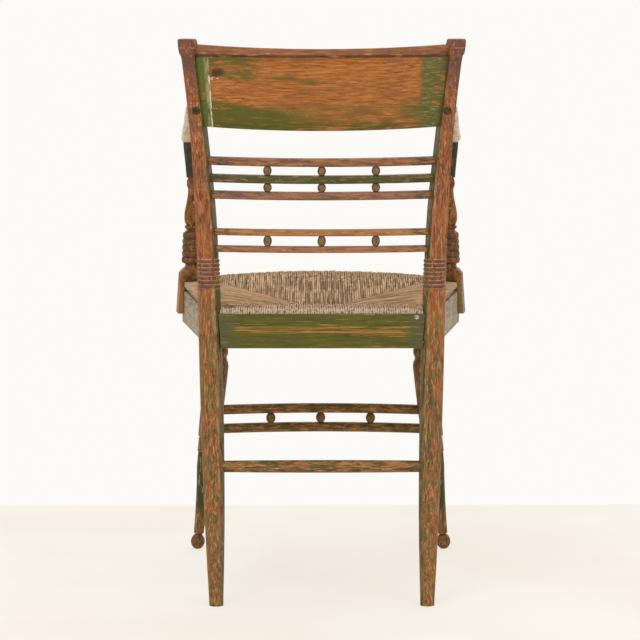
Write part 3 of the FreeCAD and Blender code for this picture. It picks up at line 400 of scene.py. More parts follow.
innerFace = ("facing", (0.966, 0.259, 0.0), 0.70, 0.84)
backFace = ("facing", (0.0, 1.0, 0.0), 0.5, 0.8)
frontFace = ("facing", (0.0, -1.0, 0.0), 0.7, 0.9)
belowFinial = ("z", 0.852, 0.842)
bandFoot, bandHead = ("z", 0.480, 0.486), ("z", 0.534, 0.528)
legSlant = (-1.0, 0.0, 0.025)
postLook = dict(
    tones=((140, 86, 62), (186, 124, 86)), grain=(330, 330, 34), rough=0.5, bump=0.5,
    layers=(
        # brown and mauve above the rings, browner wood with green left in its grain below them
        coat((90, 58, 46), (360, 360, 40), 0.52, 0.60, 0.8),
        coat((214, 160, 116), (380, 380, 44), 0.54, 0.62, 0.7, seed=33),
        coat((124, 88, 74), (90, 90, 11), 0.42, 0.6, 0.6, where=(("z", 0.50, 0.66),)),
        coat((112, 80, 72), (120, 120, 26), 0.3, 0.52, 0.8, seed=8, where=(("z", 0.765, 0.835),)),
        coat((116, 106, 66), (270, 270, 30), 0.47, 0.55, 0.88, where=(("z", 0.50, 0.44),)),
        coat((86, 86, 46), (300, 300, 36), 0.51, 0.59, 0.85, seed=21, where=(("z", 0.47, 0.36),)),
        coat((206, 154, 110), (360, 360, 50), 0.56, 0.62, 0.7, seed=22, where=(("z", 0.50, 0.44),)),
        coat((158, 88, 58), (250, 250, 26), 0.55, 0.64, 0.55, seed=25, where=(("z", 0.52, 0.46),)),
        # green on the faces that look to the chair's middle, with a worn pale edge
        coat((76, 78, 36), (60, 60, 26), 0.7, 0.5, 0.95, where=(innerFace, belowFinial)),
        coat((142, 110, 66), (120, 120, 90), 0.3, 0.46, 0.85, seed=81,
             where=(("facing", (0.966, 0.259, 0.0), 0.55, 0.75), bandFoot, bandHead)),
        coat((118, 86, 76), (90, 90, 60), 0.36, 0.52, 0.7, seed=83,
             where=(("facing", (-0.259, 0.966, 0.0), 0.75, 0.9), bandFoot, bandHead)),
        coat((54, 50, 30), (200, 200, 60), 0.56, 0.66, 0.7, seed=44, where=(innerFace, belowFinial)),
        coat((146, 116, 88), (200, 200, 24), 0.42, 0.54, 0.7, seed=46,
             where=(("facing", (0.966, 0.259, 0.0), 0.60, 0.80), ("z", 0.405, 0.380))),
        coat((190, 156, 118), (160, 160, 30), 0.5, 0.6, 0.6, where=(("facing", (0.5, 0.866, 0.0), 0.970,
                                                                     0.99),), raised=-0.4),
        # the rings: dark hollows with rubbed edges, and chips
        coat((94, 66, 60), (90, 90, 60), 0.36, 0.5, 0.75, where=(("z", 0.483, 0.486), ("z", 0.531, 0.528),
                                                                 ("grooves", 0.484, 0.00657, 0.40, 0.28))),
        coat((216, 186, 160), (200, 200, 60), 0.36, 0.5, 0.8, seed=52,
             where=(("z", 0.482, 0.484), ("z", 0.532, 0.530), ("grooves", 0.4848, 0.00657, 0.37, 0.45))),
        coat((190, 150, 116), (90, 90, 90), 0.36, 0.5, 0.5, where=(("z", 0.8575, 0.8582),
                                                                   ("z", 0.8600, 0.8592))),
        coat((206, 158, 88), (190, 190, 190), 0.55, 0.62, 0.9, seed=57,
             where=(("z", 0.476, 0.486), ("z", 0.532, 0.522),
                    ("facing", (0.4, 0.92, 0.0), 0.86, 0.97)), raised=-0.6),
        # paint left in slots on one leg
        coat((74, 80, 60), (60, 60, 24), 0.62, 0.5, 0.9, seed=61,
             where=(("slant", legSlant, 0.1735, 0.1745), ("slant", legSlant, 0.1825, 0.1815),
                    ("z", 0.290, 0.310), ("z", 0.395, 0.385), backFace)),
        coat((80, 86, 62), (60, 60, 24), 0.62, 0.5, 0.9, seed=63,
             where=(("slant", legSlant, 0.1695, 0.1705), ("slant", legSlant, 0.1765, 0.1755),
                    ("z", 0.185, 0.200), ("z", 0.262, 0.252), backFace)),
        coat((214, 176, 134), (420, 420, 46), 0.60, 0.67, 0.7, seed=65, raised=-0.6),
        coat((60, 44, 36), (420, 420, 60), 0.59, 0.67, 0.75, seed=14, raised=-0.8),
    ))


def postRings():
    turn = Matrix.Rotation(-chairLines["postTurn"], 4, "Z")

    def ring(height, width, depth, corner):
        matrix = Matrix.Translation((postAcross(height), postBack(height), height)) @ turn
        return matrix, width, depth, corner * width
    low, high = chairLines["bandBottom"], chairLines["bandTop"]
    for step in range(31):
        width, depth, corner = smoothTable(postShape["leg"], step / 30)
        yield ring(low * step / 30, width * postShape["width"], depth * postShape["depth"], corner)
    pitch = (high - low) / postShape["ridges"]
    for ridge in range(postShape["ridges"]):
        for share, cut in ((0.04, 1.0), (0.18, 0.35), (0.34, 0.05), (0.5, 0.0), (0.66, 0.05), (0.82, 0.35),
                           (0.96, 1.0)):
            across = 2 * (postShape["ridgeHalf"] - cut * postShape["grooveDepth"])
            yield ring(low + (ridge + share) * pitch, across, across, postShape["ringCorner"])
    top = postShape["finialBottom"]
    for step in range(1, 36):
        width, depth, corner = smoothTable(postShape["upper"], step / 36)
        yield ring(high + (top - high) * step / 36, width * postShape["width"], depth * postShape["depth"],
                   corner)
    for step in range(15):
        width, depth, corner = smoothTable(postShape["finial"], step / 14)
        yield ring(top + (chairLines["overall"] - top) * step / 14, width * postShape["finialWidth"],
                   depth * postShape["finialDepth"], corner)


postFinish = wornFinish("postFinish", postLook)
makePair("postShown", lambda: loftRings(postRings()), postFinish, "back_post")
print("posts made")


# bowed bars

def bowedShape(section, halfChord, bow, back, up, lean=0.0, side=1, steps=40):
    # the section, as offsets back and up, swept round the bow between two posts
    radius = (halfChord ** 2 + bow ** 2) / (2 * bow)
    turn = math.asin(halfChord / radius)
    bm = bmesh.new()
    start = Matrix.Rotation(-turn, 4, "Z")
    ring = [bm.verts.new(start @ Vector((0, side * radius + out, high))) for out, high in section]
    edges = [bm.edges.new((ring[n], ring[(n + 1) % len(ring)])) for n in range(len(ring))]
    bmesh.ops.contextual_create(bm, geom=edges)
    last = bmesh.ops.spin(bm, geom=ring + edges, cent=(0, 0, 0), axis=(0, 0, 1), angle=2 * turn,
                          steps=steps)
    endEdges = [item for item in last["geom_last"] if isinstance(item, bmesh.types.BMEdge)]
    bmesh.ops.contextual_create(bm, geom=endEdges)
    reach = side * (radius - bow)
    matrix = Matrix.Translation((0, back - reach * math.cos(lean), up + reach * math.sin(lean)))
    bmesh.ops.transform(bm, matrix=matrix @ Matrix.Rotation(-lean, 4, "X"), verts=bm.verts)
    return bm


def roundedSection(depth, height, corner, perCorner=5):
    points = []
    for quarter in range(4):
        signX = 1 if quarter in (0, 3) else -1
        signY = 1 if quarter in (0, 1) else -1
        for step in range(perCorner):
            turn = math.pi / 2 * (quarter + step / (perCorner - 1))
            points.append((signX * (depth / 2 - corner) + corner * math.cos(turn),
                           signY * (height / 2 - corner) + corner * math.sin(turn)))
    return points


crestShape = dict(height=0.801, bow=0.026, half=0.0055, drop=0.0645, rollRise=0.0575, rollRadius=0.0078)

underRoll = ("z", 0.848, 0.8465)
crestSlant = (1.0, 0.0, -0.062)
endStrip = ("slant", crestSlant, 0.1200, 0.1215)
crestLook = dict(
    tones=((156, 98, 62), (194, 134, 88)), grain=(34, 200, 380), rough=0.46, bump=0.45,
    layers=(
        coat((104, 64, 44), (36, 300, 480), 0.56, 0.66, 0.7, raised=-0.5),
        coat((214, 160, 112), (30, 200, 420), 0.55, 0.66, 0.6, seed=7),
        coat((132, 88, 66), (14, 60, 60), 0.5, 0.66, 0.55, seed=5),
        coat((142, 84, 72), (60, 60, 120), 0.4, 0.6, 0.55, where=(("spot", (-0.054, 0.235, 0.796),
                                                                   (0.012, 0.05, 0.016), 0.5),)),
        # green left along the lower edge, more of it to the left
        coat((112, 100, 56), (26, 60, 120), 0.36, 0.6, 0.6, seed=2, where=(("z", 0.784, 0.760),)),
        coat((92, 94, 42), (30, 90, 190), 0.34, 0.43, 0.93, seed=3,
             where=(("slant", (-0.16, 0.0, 1.0), 0.7560, 0.7470), ("x", 0.0, 0.07))),
        coat((84, 88, 36), (26, 60, 260), 0.44, 0.52, 0.9, seed=13, where=(("z", 0.750, 0.7405),)),
        # under the roll at the left, in small streaks beyond it, and at both ends
        coat((92, 94, 44), (34, 80, 220), 0.40, 0.5, 0.92, seed=17,
             where=(("z", 0.822, 0.838), underRoll, ("x", 0.075, 0.115))),
        coat((94, 96, 46), (30, 60, 200), 0.42, 0.5, 0.85, seed=71,
             where=(("spot", (0.056, 0.235, 0.8125), (0.024, 0.05, 0.003), 0.4),)),
        coat((94, 96, 46), (30, 60, 200), 0.42, 0.5, 0.8, seed=73,
             where=(("spot", (0.012, 0.235, 0.8070), (0.028, 0.05, 0.003), 0.4),)),
        coat((96, 98, 50), (40, 60, 160), 0.38, 0.5, 0.85, seed=75,
             where=(("spot", (0.118, 0.235, 0.8180), (0.038, 0.05, 0.009), 0.5),)),
        coat((92, 96, 54), (40, 60, 260), 0.38, 0.48, 0.9, seed=19,
             where=(("x", -0.146, -0.156), underRoll)),
        coat((90, 92, 48), (40, 60, 200), 0.4, 0.5, 0.85, seed=77,
             where=(("spot", (-0.150, 0.235, 0.767), (0.030, 0.05, 0.018), 0.4),)),
        coat((98, 108, 54), (60, 60, 60), 0.3, 0.42, 0.92, seed=23, where=(endStrip, underRoll)),
        coat((158, 164, 124), (160, 60, 50), 0.38, 0.54, 0.85, seed=24,
             where=(endStrip, ("slant", crestSlant, 0.1290, 0.1260), underRoll)),
        coat((172, 174, 122), (60, 200, 900), 0.56, 0.62, 0.6, seed=29,
             where=(("x", -0.146, -0.158), underRoll)),
        coat((236, 230, 208), (420, 200, 90), 0.46, 0.54, 0.9, seed=31,
             where=(("slant", crestSlant, 0.1203, 0.1210), ("slant", crestSlant, 0.1232, 0.1222),
                    ("z", 0.840, 0.834))),
        coat((52, 46, 28), (90, 60, 120), 0.3, 0.46, 0.85, where=(("spot", (0.1600, 0.235, 0.8205),
                                                                   (0.0110, 0.05, 0.0075), 0.5),)),
        coat((226, 218, 200), (300, 160, 420), 0.46, 0.54, 0.85, seed=37,
             where=(("spot", (0.1640, 0.235, 0.8118), (0.008, 0.05, 0.0022), 0.5),)),
        # the roll is browner and chipped along its lower edge, with painted shadow in a dark band just under
        # it
        coat((124, 88, 74), (36, 120, 300), 0.32, 0.56, 0.78, seed=41, where=(("z", 0.846, 0.850),)),
        # painted shadow: a dark band along the roll's lower edge
        coat((66, 46, 36), (30, 40, 60), 0.25, 0.5, 0.8, seed=42,
             where=(("z", 0.8435, 0.8455), ("z", 0.8495, 0.8480))),
        coat((206, 172, 140), (60, 60, 420), 0.55, 0.62, 0.6, seed=43,
             where=(("z", 0.846, 0.849), ("z", 0.853, 0.850)), raised=-0.3),
        coat((206, 170, 134), (120, 300, 700), 0.64, 0.70, 0.6, seed=47, raised=-0.3),
        coat((64, 44, 34), (90, 300, 700), 0.64, 0.70, 0.6, seed=49, raised=-0.4),
        # striping of gold on the front, as a decorator lays it
        coat((178, 140, 66), (60, 60, 60), 0.62, 0.5, 0.85, seed=81,
             where=(frontFace, ("z", 0.7455, 0.7462), ("z", 0.7490, 0.7483), ("side", 0.152, 0.151))),
        coat((178, 140, 66), (60, 60, 60), 0.62, 0.5, 0.85, seed=83,
             where=(frontFace, ("z", 0.8370, 0.8377), ("z", 0.8405, 0.8398), ("side", 0.152, 0.151))),
    ))


def crestSection():
    half, radius, rise = crestShape["half"], crestShape["rollRadius"], crestShape["rollRise"]
    drop, ease = crestShape["drop"], 0.0022
    points = [(-half, -drop + ease), (-half + ease * 0.3, -drop + ease * 0.3), (-half + ease, -drop),
              (half - ease, -drop), (half - ease * 0.3, -drop + ease * 0.3), (half, -drop + ease),
              (half, -0.03),
              (half, 0.0), (half, 0.03)]
    join = math.asin(half / radius)
    for step in range(25):
        turn = join + step / 24 * (2 * math.pi - 2 * join)
        points.append((radius * math.sin(turn), rise - radius * math.cos(turn)))
    return points + [(-half, 0.03), (-half, 0.0), (-half, -0.03)]


crestFinish = wornFinish("crestFinish", crestLook)
crest = bowedShape(crestSection(), postAcross(crestShape["height"]), crestShape["bow"],
                   postBack(crestShape["height"]),
                   crestShape["height"], backLean(crestShape["height"]))
makePiece("crestShown", crest, crestFinish, ["crest_rail"])

railShape = dict(heights=(0.684, 0.657, 0.631, 0.5729, 0.5464), bow=0.017, depth=0.012,
                 tall=(0.0125, 0.0125, 0.0125, 0.0103, 0.0103), corner=0.0028)
railLooks = (
    dict(tones=((142, 100, 76), (182, 132, 98)), coat=(110, 84, 74), coatFrom=0.5, second=(118, 104, 70),
         top=(106, 84, 74)),
    dict(tones=((104, 86, 58), (150, 116, 84)), coat=(72, 78, 42), coatFrom=0.40, second=(190, 148, 122),
         top=(96, 80, 62)),
    dict(tones=((138, 100, 80), (178, 132, 102)), coat=(116, 88, 80), coatFrom=0.52, second=(110, 102, 72),
         top=(114, 88, 76)),
    dict(tones=((162, 116, 78), (194, 146, 102)), coat=(124, 96, 70), coatFrom=0.58, second=(156, 116, 92),
         top=(126, 90, 64)),
    dict(tones=((148, 106, 82), (186, 138, 106)), coat=(118, 88, 74), coatFrom=0.56, second=(110, 104, 70),
         top=(114, 84, 68)),
)
for number, look in enumerate(railLooks, start=1):
    level = railShape["heights"][number - 1]
    railFinish = wornFinish(f"railFinish{number}", dict(
        tones=look["tones"], grain=(30, 240, 420), rough=0.48, bump=0.4, seed=number * 5.0, layers=(
            coat(look["coat"], (34, 120, 260), look["coatFrom"], look["coatFrom"] + 0.06, 0.9,
                 seed=number * 7.0),
            coat(look["second"], (40, 160, 420), 0.57, 0.64, 0.7, seed=number * 9.0),
            coat(look["top"], (30, 60, 60), 0.3, 0.5, 0.8, seed=number * 4.0,
                 where=(("z", level + 0.0028, level + 0.0048),)),
            coat((66, 50, 40), (40, 300, 600), 0.6, 0.68, 0.7, seed=number * 3.0, raised=-0.5),
            coat((220, 192, 162), (110, 300, 700), 0.63, 0.69, 0.75, seed=number * 11.0, raised=-0.4),
            coat((64, 62, 44), (60, 200, 300), 0.5, 0.58, 0.8, seed=number * 13.0,
                 where=(("side", 0.128, 0.150),)),
        )))
    bar = bowedShape(roundedSection(railShape["depth"], railShape["tall"][number - 1], railShape["corner"]),
                     postAcross(level), railShape["bow"], postBack(level), level, backLean(level))
    makePiece(f"backRailShown_{number}", bar, railFinish, [f"back_rail_{number}"])
print("crest and back rails made")

# balls between the rails

ballShape = dict(end=0.52, points=14, backRadius=0.0066, stretcherRadius=0.0079)
ballLook = dict(
    tones=((112, 86, 62), (150, 116, 84)), grain=(300, 300, 420), rough=0.5, bump=0.3,
    layers=(
        coat((60, 52, 36), (200, 200, 200), 0.2, 0.5, 0.85, where=(("facing", (0.0, 1.0, 0.0), 0.80,
                                                                    0.50),)),
        coat((84, 76, 50), (260, 260, 180), 0.52, 0.62, 0.8),
        coat((216, 180, 132), (420, 420, 420), 0.58, 0.66, 0.8),
    ))
ballFinish = wornFinish("ballFinish", ballLook)


def ballOutline(radius, half):
    # a bead cut flat at both ends
    cut = ballShape["end"] * radius
    low = math.acos(ballShape["end"])
    points = [(0, -half), (cut * 0.9, -half)]
    for step in range(ballShape["points"] + 1):
        turn = -low + 2 * low * step / ballShape["points"]
        points.append((radius * math.cos(turn), half * math.sin(turn) / math.sin(low) * 0.985))
    return points + [(cut * 0.9, half), (0, half)]


def ballPiece(node, radius, lean):
    low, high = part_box(node)
    centre = (low + high) / 2
    half = (high.z - low.z) / 2 / math.cos(lean) - radius * ballShape["end"] * math.tan(abs(lean))
    matrix = Matrix.Translation(centre) @ Matrix.Rotation(-lean, 4, "X")
    bm = turnedShape(ballOutline(radius, half), matrix, 28)
    makePiece(f"{node}_shown", bm, ballFinish, [node])


for number in range(1, 10):
    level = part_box(f"back_ball_{number}")[0].z
    ballPiece(f"back_ball_{number}", ballShape["backRadius"], backLean(level))
for number in range(1, 4):
    ballPiece(f"stretcher_ball_{number}", ballShape["stretcherRadius"], 0.0)
print("balls made")

# front legs

legShape = dict(ballRadius=0.0117, ballHeight=0.0265, ankle=0.0084, calfHeight=0.143, calf=0.0151,
                ringBottom=0.168, ringPitch=0.0046, rings=5, ringRadius=0.017, groove=0.0014, shaft=0.0183,
                vaseHeight=0.315, vase=0.020, neckHeight=0.329, neck=0.0153, beadBottom=0.334,
                beadHeight=0.013, bead=0.0168, top=0.0145, tenon=0.0125, length=0.438, shoulder=0.408,
                footCut=0.0012, ballMiddle=0.0128, ballHalf=0.0137,
                neckTop=0.36, tenonFoot=0.414)


def legOutline():
    shape = legShape
    points = [(0, -shape["footCut"])]
    for step in range(12):
        turn = math.radians(-78 + 148 * step / 11)
        points.append((shape["ballRadius"] * math.cos(turn),
                       shape["ballMiddle"] + shape["ballHalf"] * math.sin(turn)))
    points += [(shape["ankle"] - 0.0013, shape["ballHeight"]),
               (shape["ankle"] - 0.0002, shape["ballHeight"] + 0.0008),
               (shape["ankle"], shape["ballHeight"] + 0.0016)]
    span = shape["calfHeight"] - shape["ballHeight"]
    for step in range(1, 9):
        share = step / 8
        swell = shape["ankle"] + (shape["calf"] - shape["ankle"]) * (0.35 * share + 0.65 * share ** 2)
        points.append((swell, shape["ballHeight"] + span * share))
    points.append((shape["ringRadius"] - shape["groove"], shape["ringBottom"] - 0.0008))
    for ring in range(shape["rings"]):
        low = shape["ringBottom"] + ring * shape["ringPitch"]
        points += arcPoints(low, low + shape["ringPitch"], shape["ringRadius"] - shape["groove"],
                            shape["groove"], 6)
    high = shape["ringBottom"] + (shape["rings"] + 1) * shape["ringPitch"]
    points.append((shape["shaft"], high))
    for step in range(1, 10):
        share = step / 9
        swell = shape["shaft"] + (shape["vase"] - shape["shaft"]) * (1.7 * share - 0.7 * share ** 2)
        points.append((swell, high + (shape["vaseHeight"] - high) * share))
    points += [(shape["vase"] * 0.985, shape["vaseHeight"] + 0.004),
               (shape["vase"] * 0.92, shape["vaseHeight"] + 0.009),
               (shape["neck"] * 1.02, shape["neckHeight"]), (shape["neck"], shape["beadBottom"] - 0.001)]
    points += arcPoints(shape["beadBottom"], shape["beadBottom"] + shape["beadHeight"], shape["neck"],
                        shape["bead"] - shape["neck"], 8)
    return points + [(shape["neck"] * 0.99, shape["neckTop"]), (shape["top"], shape["shoulder"]),
                     (shape["tenon"], shape["tenonFoot"]),
                     (shape["tenon"], shape["length"]), (0, shape["length"])]


legLook = dict(
    tones=((126, 84, 52), (170, 120, 76)), grain=(300, 300, 34), rough=0.46, bump=0.35,
    layers=(
        coat((86, 86, 46), (170, 170, 18), 0.46, 0.56, 0.85),
        coat((58, 64, 34), (120, 120, 14), 0.40, 0.5, 0.93, seed=5,
             where=(("z", 0.168, 0.158), ("z", 0.056, 0.078))),
        coat((38, 34, 24), amount=0.85, where=(("z", 0.158, 0.161), ("z", 0.170, 0.167))),
        coat((36, 32, 22), amount=0.6, where=(("grooves", 0.168, 0.0046, 0.34, 0.46), ("z", 0.166, 0.168),
                                              ("z", 0.194, 0.192))),
        coat((136, 96, 62), (160, 160, 160), 0.4, 0.5, 0.9, where=(("z", 0.030, 0.024),)),
        coat((66, 52, 34), (200, 200, 200), 0.5, 0.6, 0.8, seed=7, where=(("z", 0.034, 0.026),)),
        coat((214, 196, 160), (330, 330, 30), 0.60, 0.66, 0.8, raised=-0.5),
        coat((50, 38, 28), (260, 260, 46), 0.58, 0.66, 0.8),
    ))
legFinish = wornFinish("legFinish", legLook)
legPlace = (Matrix.Translation((chairLines["legFootHalf"],
                                chairLines["setback"] - chairLines["legFootReach"], 0))
            @ (Matrix.Rotation(-chairLines["legRake"], 4, "X") @ Matrix.Rotation(-chairLines["legSplay"], 4,
                                                                                 "Y")))
makePair("frontLegShown", lambda: turnedShape(legOutline(), legPlace, 40, floor=True), legFinish,
         "front_leg")

# stretchers

stretcherLook = dict(
    tones=((134, 96, 64), (180, 136, 94)), grain=(34, 240, 400), rough=0.5, bump=0.4, deep=0.9,
    layers=(
        coat((78, 78, 44), (34, 120, 200), 0.45, 0.54, 0.85),
        coat((98, 64, 44), (40, 160, 300), 0.53, 0.61, 0.8, seed=8),
        coat((206, 164, 112), (60, 260, 560), 0.57, 0.64, 0.8, seed=5, raised=-0.4),
        coat((48, 38, 28), (50, 260, 560), 0.58, 0.66, 0.75, seed=15, raised=-0.4),
    ))
stretcherFinish = wornFinish("stretcherFinish", stretcherLook)
frontStretcherShape = dict(bow=0.024, depth=0.014, tall=0.016, corner=0.0055, upper=0.2378, lower=0.2056)
for tier in ("upper", "lower"):
    level = frontStretcherShape[tier]
    bar = bowedShape(roundedSection(frontStretcherShape["depth"], frontStretcherShape["tall"],
                                    frontStretcherShape["corner"]),
                     legAcross(level), frontStretcherShape["bow"], legBack(level), level, side=-1)
    makePiece(f"frontStretcherShown_{tier}", bar, stretcherFinish,
              [f"front_stretcher_{tier}"])


def plainStretcher(name, start, end, endRadius, middleRadius, node, look):
    # a long spindle, fattest in its middle
    span = end - start
    outline = [(0, 0)]
    for step in range(17):
        share = step / 16
        swell = math.sin(math.pi * min(max(share, 0.02), 0.98)) ** 0.6
        outline.append((endRadius + (middleRadius - endRadius) * swell, span.length * share))
    outline.append((0, span.length))
    matrix = Matrix.Translation(start) @ span.to_track_quat("Z", "Y").to_matrix().to_4x4()
    makePiece(name, turnedShape(outline, matrix, 28), look, [node])


plainShape = dict(rear=(0.208, 0.0085, 0.0099), upper=(0.262, 0.0065, 0.0085),
                  lower=(0.158, 0.0065, 0.0085))
rearLevel, rearEnd, rearMiddle = plainShape["rear"]
plainStretcher("rearStretcherShown", Vector((-postAcross(rearLevel), postBack(rearLevel), rearLevel)),
               Vector((postAcross(rearLevel), postBack(rearLevel), rearLevel)), rearEnd, rearMiddle,
               "rear_stretcher", stretcherFinish)
sideLook = dict(stretcherLook, grain=(240, 34, 400))
sideFinish = wornFinish("sideStretcherFinish", sideLook)
for tier in ("upper", "lower"):
    level, endRadius, middleRadius = plainShape[tier]
    for label, side in (("left", 1), ("right", -1)):
        plainStretcher(f"sideStretcherShown_{label}_{tier}", Vector((side * postAcross(level),
                                                                     postBack(level), level)),
                       Vector((side * legAcross(level), legBack(level), level)), endRadius, middleRadius,
                       f"side_stretcher_{label}_{tier}", sideFinish)
print("legs and stretchers made")

# casings and seat rails: copies of the frame's own solids with eased edges

casingShape = dict(ease=0.0009, crease=0.5)


def easedCopy(node, name, material, ease):
    bm = bmesh.new()
    bm.from_mesh(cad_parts[node].data)
    bmesh.ops.remove_doubles(bm, verts=bm.verts, dist=1e-5)
    bmesh.ops.dissolve_limit(bm, angle_limit=math.radians(1.5), verts=bm.verts, edges=bm.edges)
    sharp = [edge for edge in bm.edges
             if len(edge.link_faces) == 2 and edge.calc_face_angle(0) > casingShape["crease"]]
    bmesh.ops.bevel(bm, geom=sharp, offset=ease, segments=2, profile=0.5, affect="EDGES", material=-1,
                    clamp_overlap=True)
    return makePiece(name, bm, material, [node], 25)


casingLook = dict(
    tones=((80, 82, 28), (100, 98, 36)), grain=(22, 60, 260), rough=0.46, bump=0.3, rich=1.06, deep=0.88,
    layers=(
        coat((88, 82, 42), (30, 60, 120), 0.45, 0.6, 0.7),
        coat((86, 88, 62), (40, 60, 60), 0.28, 0.5, 0.85, seed=4, where=(("side", 0.128, 0.152),)),
        # long thin scratches across the middle
        coat((204, 146, 84), (9, 60, 900), 0.50, 0.56, 0.95, seed=6,
             where=(("z", 0.413, 0.417), ("z", 0.427, 0.423), ("side", 0.142, 0.125)), raised=-0.8),
        coat((186, 128, 70), (11, 60, 620), 0.52, 0.60, 0.9, seed=36,
             where=(("slant", (-0.06, 0.0, 1.0), 0.414, 0.418), ("slant", (-0.06, 0.0, 1.0), 0.432, 0.428),
                    ("x", 0.02, -0.02), ("x", -0.145, -0.12)), raised=-0.6),
        coat((208, 164, 96), (18, 60, 1000), 0.62, 0.66, 0.85, seed=26, raised=-0.6),
        coat((44, 42, 28), (60, 60, 600), 0.60, 0.68, 0.6, seed=16),
        # a chip the shape of a star beside a nail
        coat((206, 198, 176), (620, 60, 620), 0.34, 0.52, 0.9, seed=18,
             where=(("spot", (-0.1475, 0.175, 0.4400), (0.0036, 0.02, 0.0032), 0.3),), raised=-0.6),
    ))
# the side casings: their pale grey-beige tones are painted reflection, the green paint as it looks reflecting
# the white backdrop at a grazing angle; the coats add mottling, darker towards the top, and specks
sideCasingWearAndReflectionLook = dict(
    tones=((152, 136, 112), (184, 170, 144)), grain=(60, 24, 160), rough=0.62, bump=0.3, rich=1.05,
    deep=0.9,
    specular=0.12,
    layers=(
        coat((126, 118, 92), (60, 26, 80), 0.5, 0.62, 0.7),
        coat((104, 88, 62), (90, 50, 160), 0.5, 0.6, 0.8, seed=5, where=(("z", 0.425, 0.445),)),
        coat((62, 54, 40), (260, 260, 260), 0.57, 0.64, 0.85, seed=9, where=(("z", 0.400, 0.440),)),
        coat((210, 200, 176), (200, 120, 300), 0.58, 0.66, 0.7, seed=12),
        coat((70, 66, 48), (200, 200, 200), 0.64, 0.7, 0.7, seed=13),
    ))
casingFinish = wornFinish("casingFinish", casingLook)
sideCasingWearAndReflectionFinish = wornFinish("sideCasingWearAndReflectionFinish", sideCasingWearAndReflectionLook)
for side in ("back", "front"):
    easedCopy(f"casing_{side}", f"casingShown_{side}", casingFinish, casingShape["ease"])
for side in ("left", "right"):
    easedCopy(f"casing_{side}", f"casingShown_{side}", sideCasingWearAndReflectionFinish,
              casingShape["ease"])
frameWood = wornFinish("frameWood", dict(
    tones=((128, 88, 56), (158, 114, 74)), grain=(30, 30, 200), rough=0.7, bump=0.4, layers=(
        coat((86, 60, 40), (60, 60, 240), 0.55, 0.66, 0.7),)))
for side in ("front", "back", "left", "right"):
    easedCopy(f"seat_rail_{side}", f"seatRailShown_{side}", frameWood, 0.001)

# nails

nailShape = dict(radius=0.0019, height=0.0007)
nailLook = dict(tones=((70, 62, 52), (120, 108, 92)), grain=(700, 700, 700), rough=0.45, bump=0.3,
                specular=0.6,
                layers=(coat((150, 100, 66), (900, 900, 900), 0.55, 0.65, 0.6),))
nailFinish = wornFinish("nailFinish", nailLook)
nailPlaces = ((0.146, 0.4402), (0.1525, 0.4058), (-0.0025, 0.4378), (-0.1455, 0.4400), (-0.1575, 0.4008))
nails = bmesh.new()
for across, height in nailPlaces:
    tilted = Matrix.Translation((across, chairLines["setback"] - 0.0002,
                                 height)) @ Matrix.Rotation(-math.pi / 2, 4, "X")
    bmesh.ops.create_cone(nails, cap_ends=True, segments=14, radius1=nailShape["radius"],
                          radius2=nailShape["radius"] * 0.6, depth=nailShape["height"], matrix=tilted)
makePiece("casingNails", nails, nailFinish)
print("casings made")

# arms

armShape = dict(jointHeight=0.762, jointHalf=0.197, frontHalf=0.2105, dipHeight=0.704, dipReach=0.225,
                rollHeight=0.715, rollRadius=0.020, thickness=0.015, width=0.029, corner=0.0062,
                supportReach=0.330, supportTop=0.631, widths=(0.76, 0.97, 1.0),
                stem=((1.06, 0.93), (1.0, 0.97), (0.88, 1.05), (0.77, 1.14), (0.68, 1.25)))


def armRings():
    shape = armShape

    def ring(reach, height, lean, width, thickness):
        share = min(1, reach / shape["dipReach"])
        across = shape["jointHalf"] + (shape["frontHalf"] - shape["jointHalf"]) * share
        matrix = Matrix.Translation((across, chairLines["setback"] - reach, height))
        matrix = matrix @ Matrix.Rotation(lean, 4, "X")
        return matrix, width * shape["width"], thickness * shape["thickness"], shape["corner"]
    atPost, atDip, atRoll = shape["widths"]
    rollReach = shape["supportReach"] - shape["rollRadius"]
    for step in range(21):
        turn, share = math.pi * step / 20, step / 20
        climb = shape["dipHeight"] - shape["jointHeight"]
        slope = math.pi / 2 * math.sin(turn) * climb / shape["dipReach"]
        reach = shape["dipReach"] * share if step else -0.0075
        yield ring(reach, shape["jointHeight"] + climb * (1 - math.cos(turn)) / 2,
                   math.pi / 2 - math.atan(slope), atPost + share * (atDip - atPost), 1)
    for step in range(1, 13):
        turn, share = math.pi * step / 12, step / 12
        climb, run = shape["rollHeight"] - shape["dipHeight"], rollReach - shape["dipReach"]
        slope = math.pi / 2 * math.sin(turn) * climb / run
        yield ring(shape["dipReach"] + run * share, shape["dipHeight"] + climb * (1 - math.cos(turn)) / 2,
                   math.pi / 2 - math.atan(slope), atDip + share * (atRoll - atDip), 1)
    for step in range(1, 9):
        turn = math.pi / 2 * step / 9
        yield ring(rollReach + shape["rollRadius"] * math.sin(turn),
                   shape["rollHeight"] - shape["rollRadius"] * (1 - math.cos(turn)), math.pi / 2 + turn,
                   atRoll, 0.97)
    stemTop = shape["rollHeight"] - shape["rollRadius"]
    for step in range(13):
        place = step / 12 * (len(shape["stem"]) - 1)
        index = min(int(place), len(shape["stem"]) - 2)
        width, thickness = [a + (b - a) * (place - index) for a,
                            b in zip(shape["stem"][index], shape["stem"][index + 1])]
        yield ring(shape["supportReach"], stemTop + (shape["supportTop"] - stemTop) * step / 12, math.pi,
                   width, thickness)
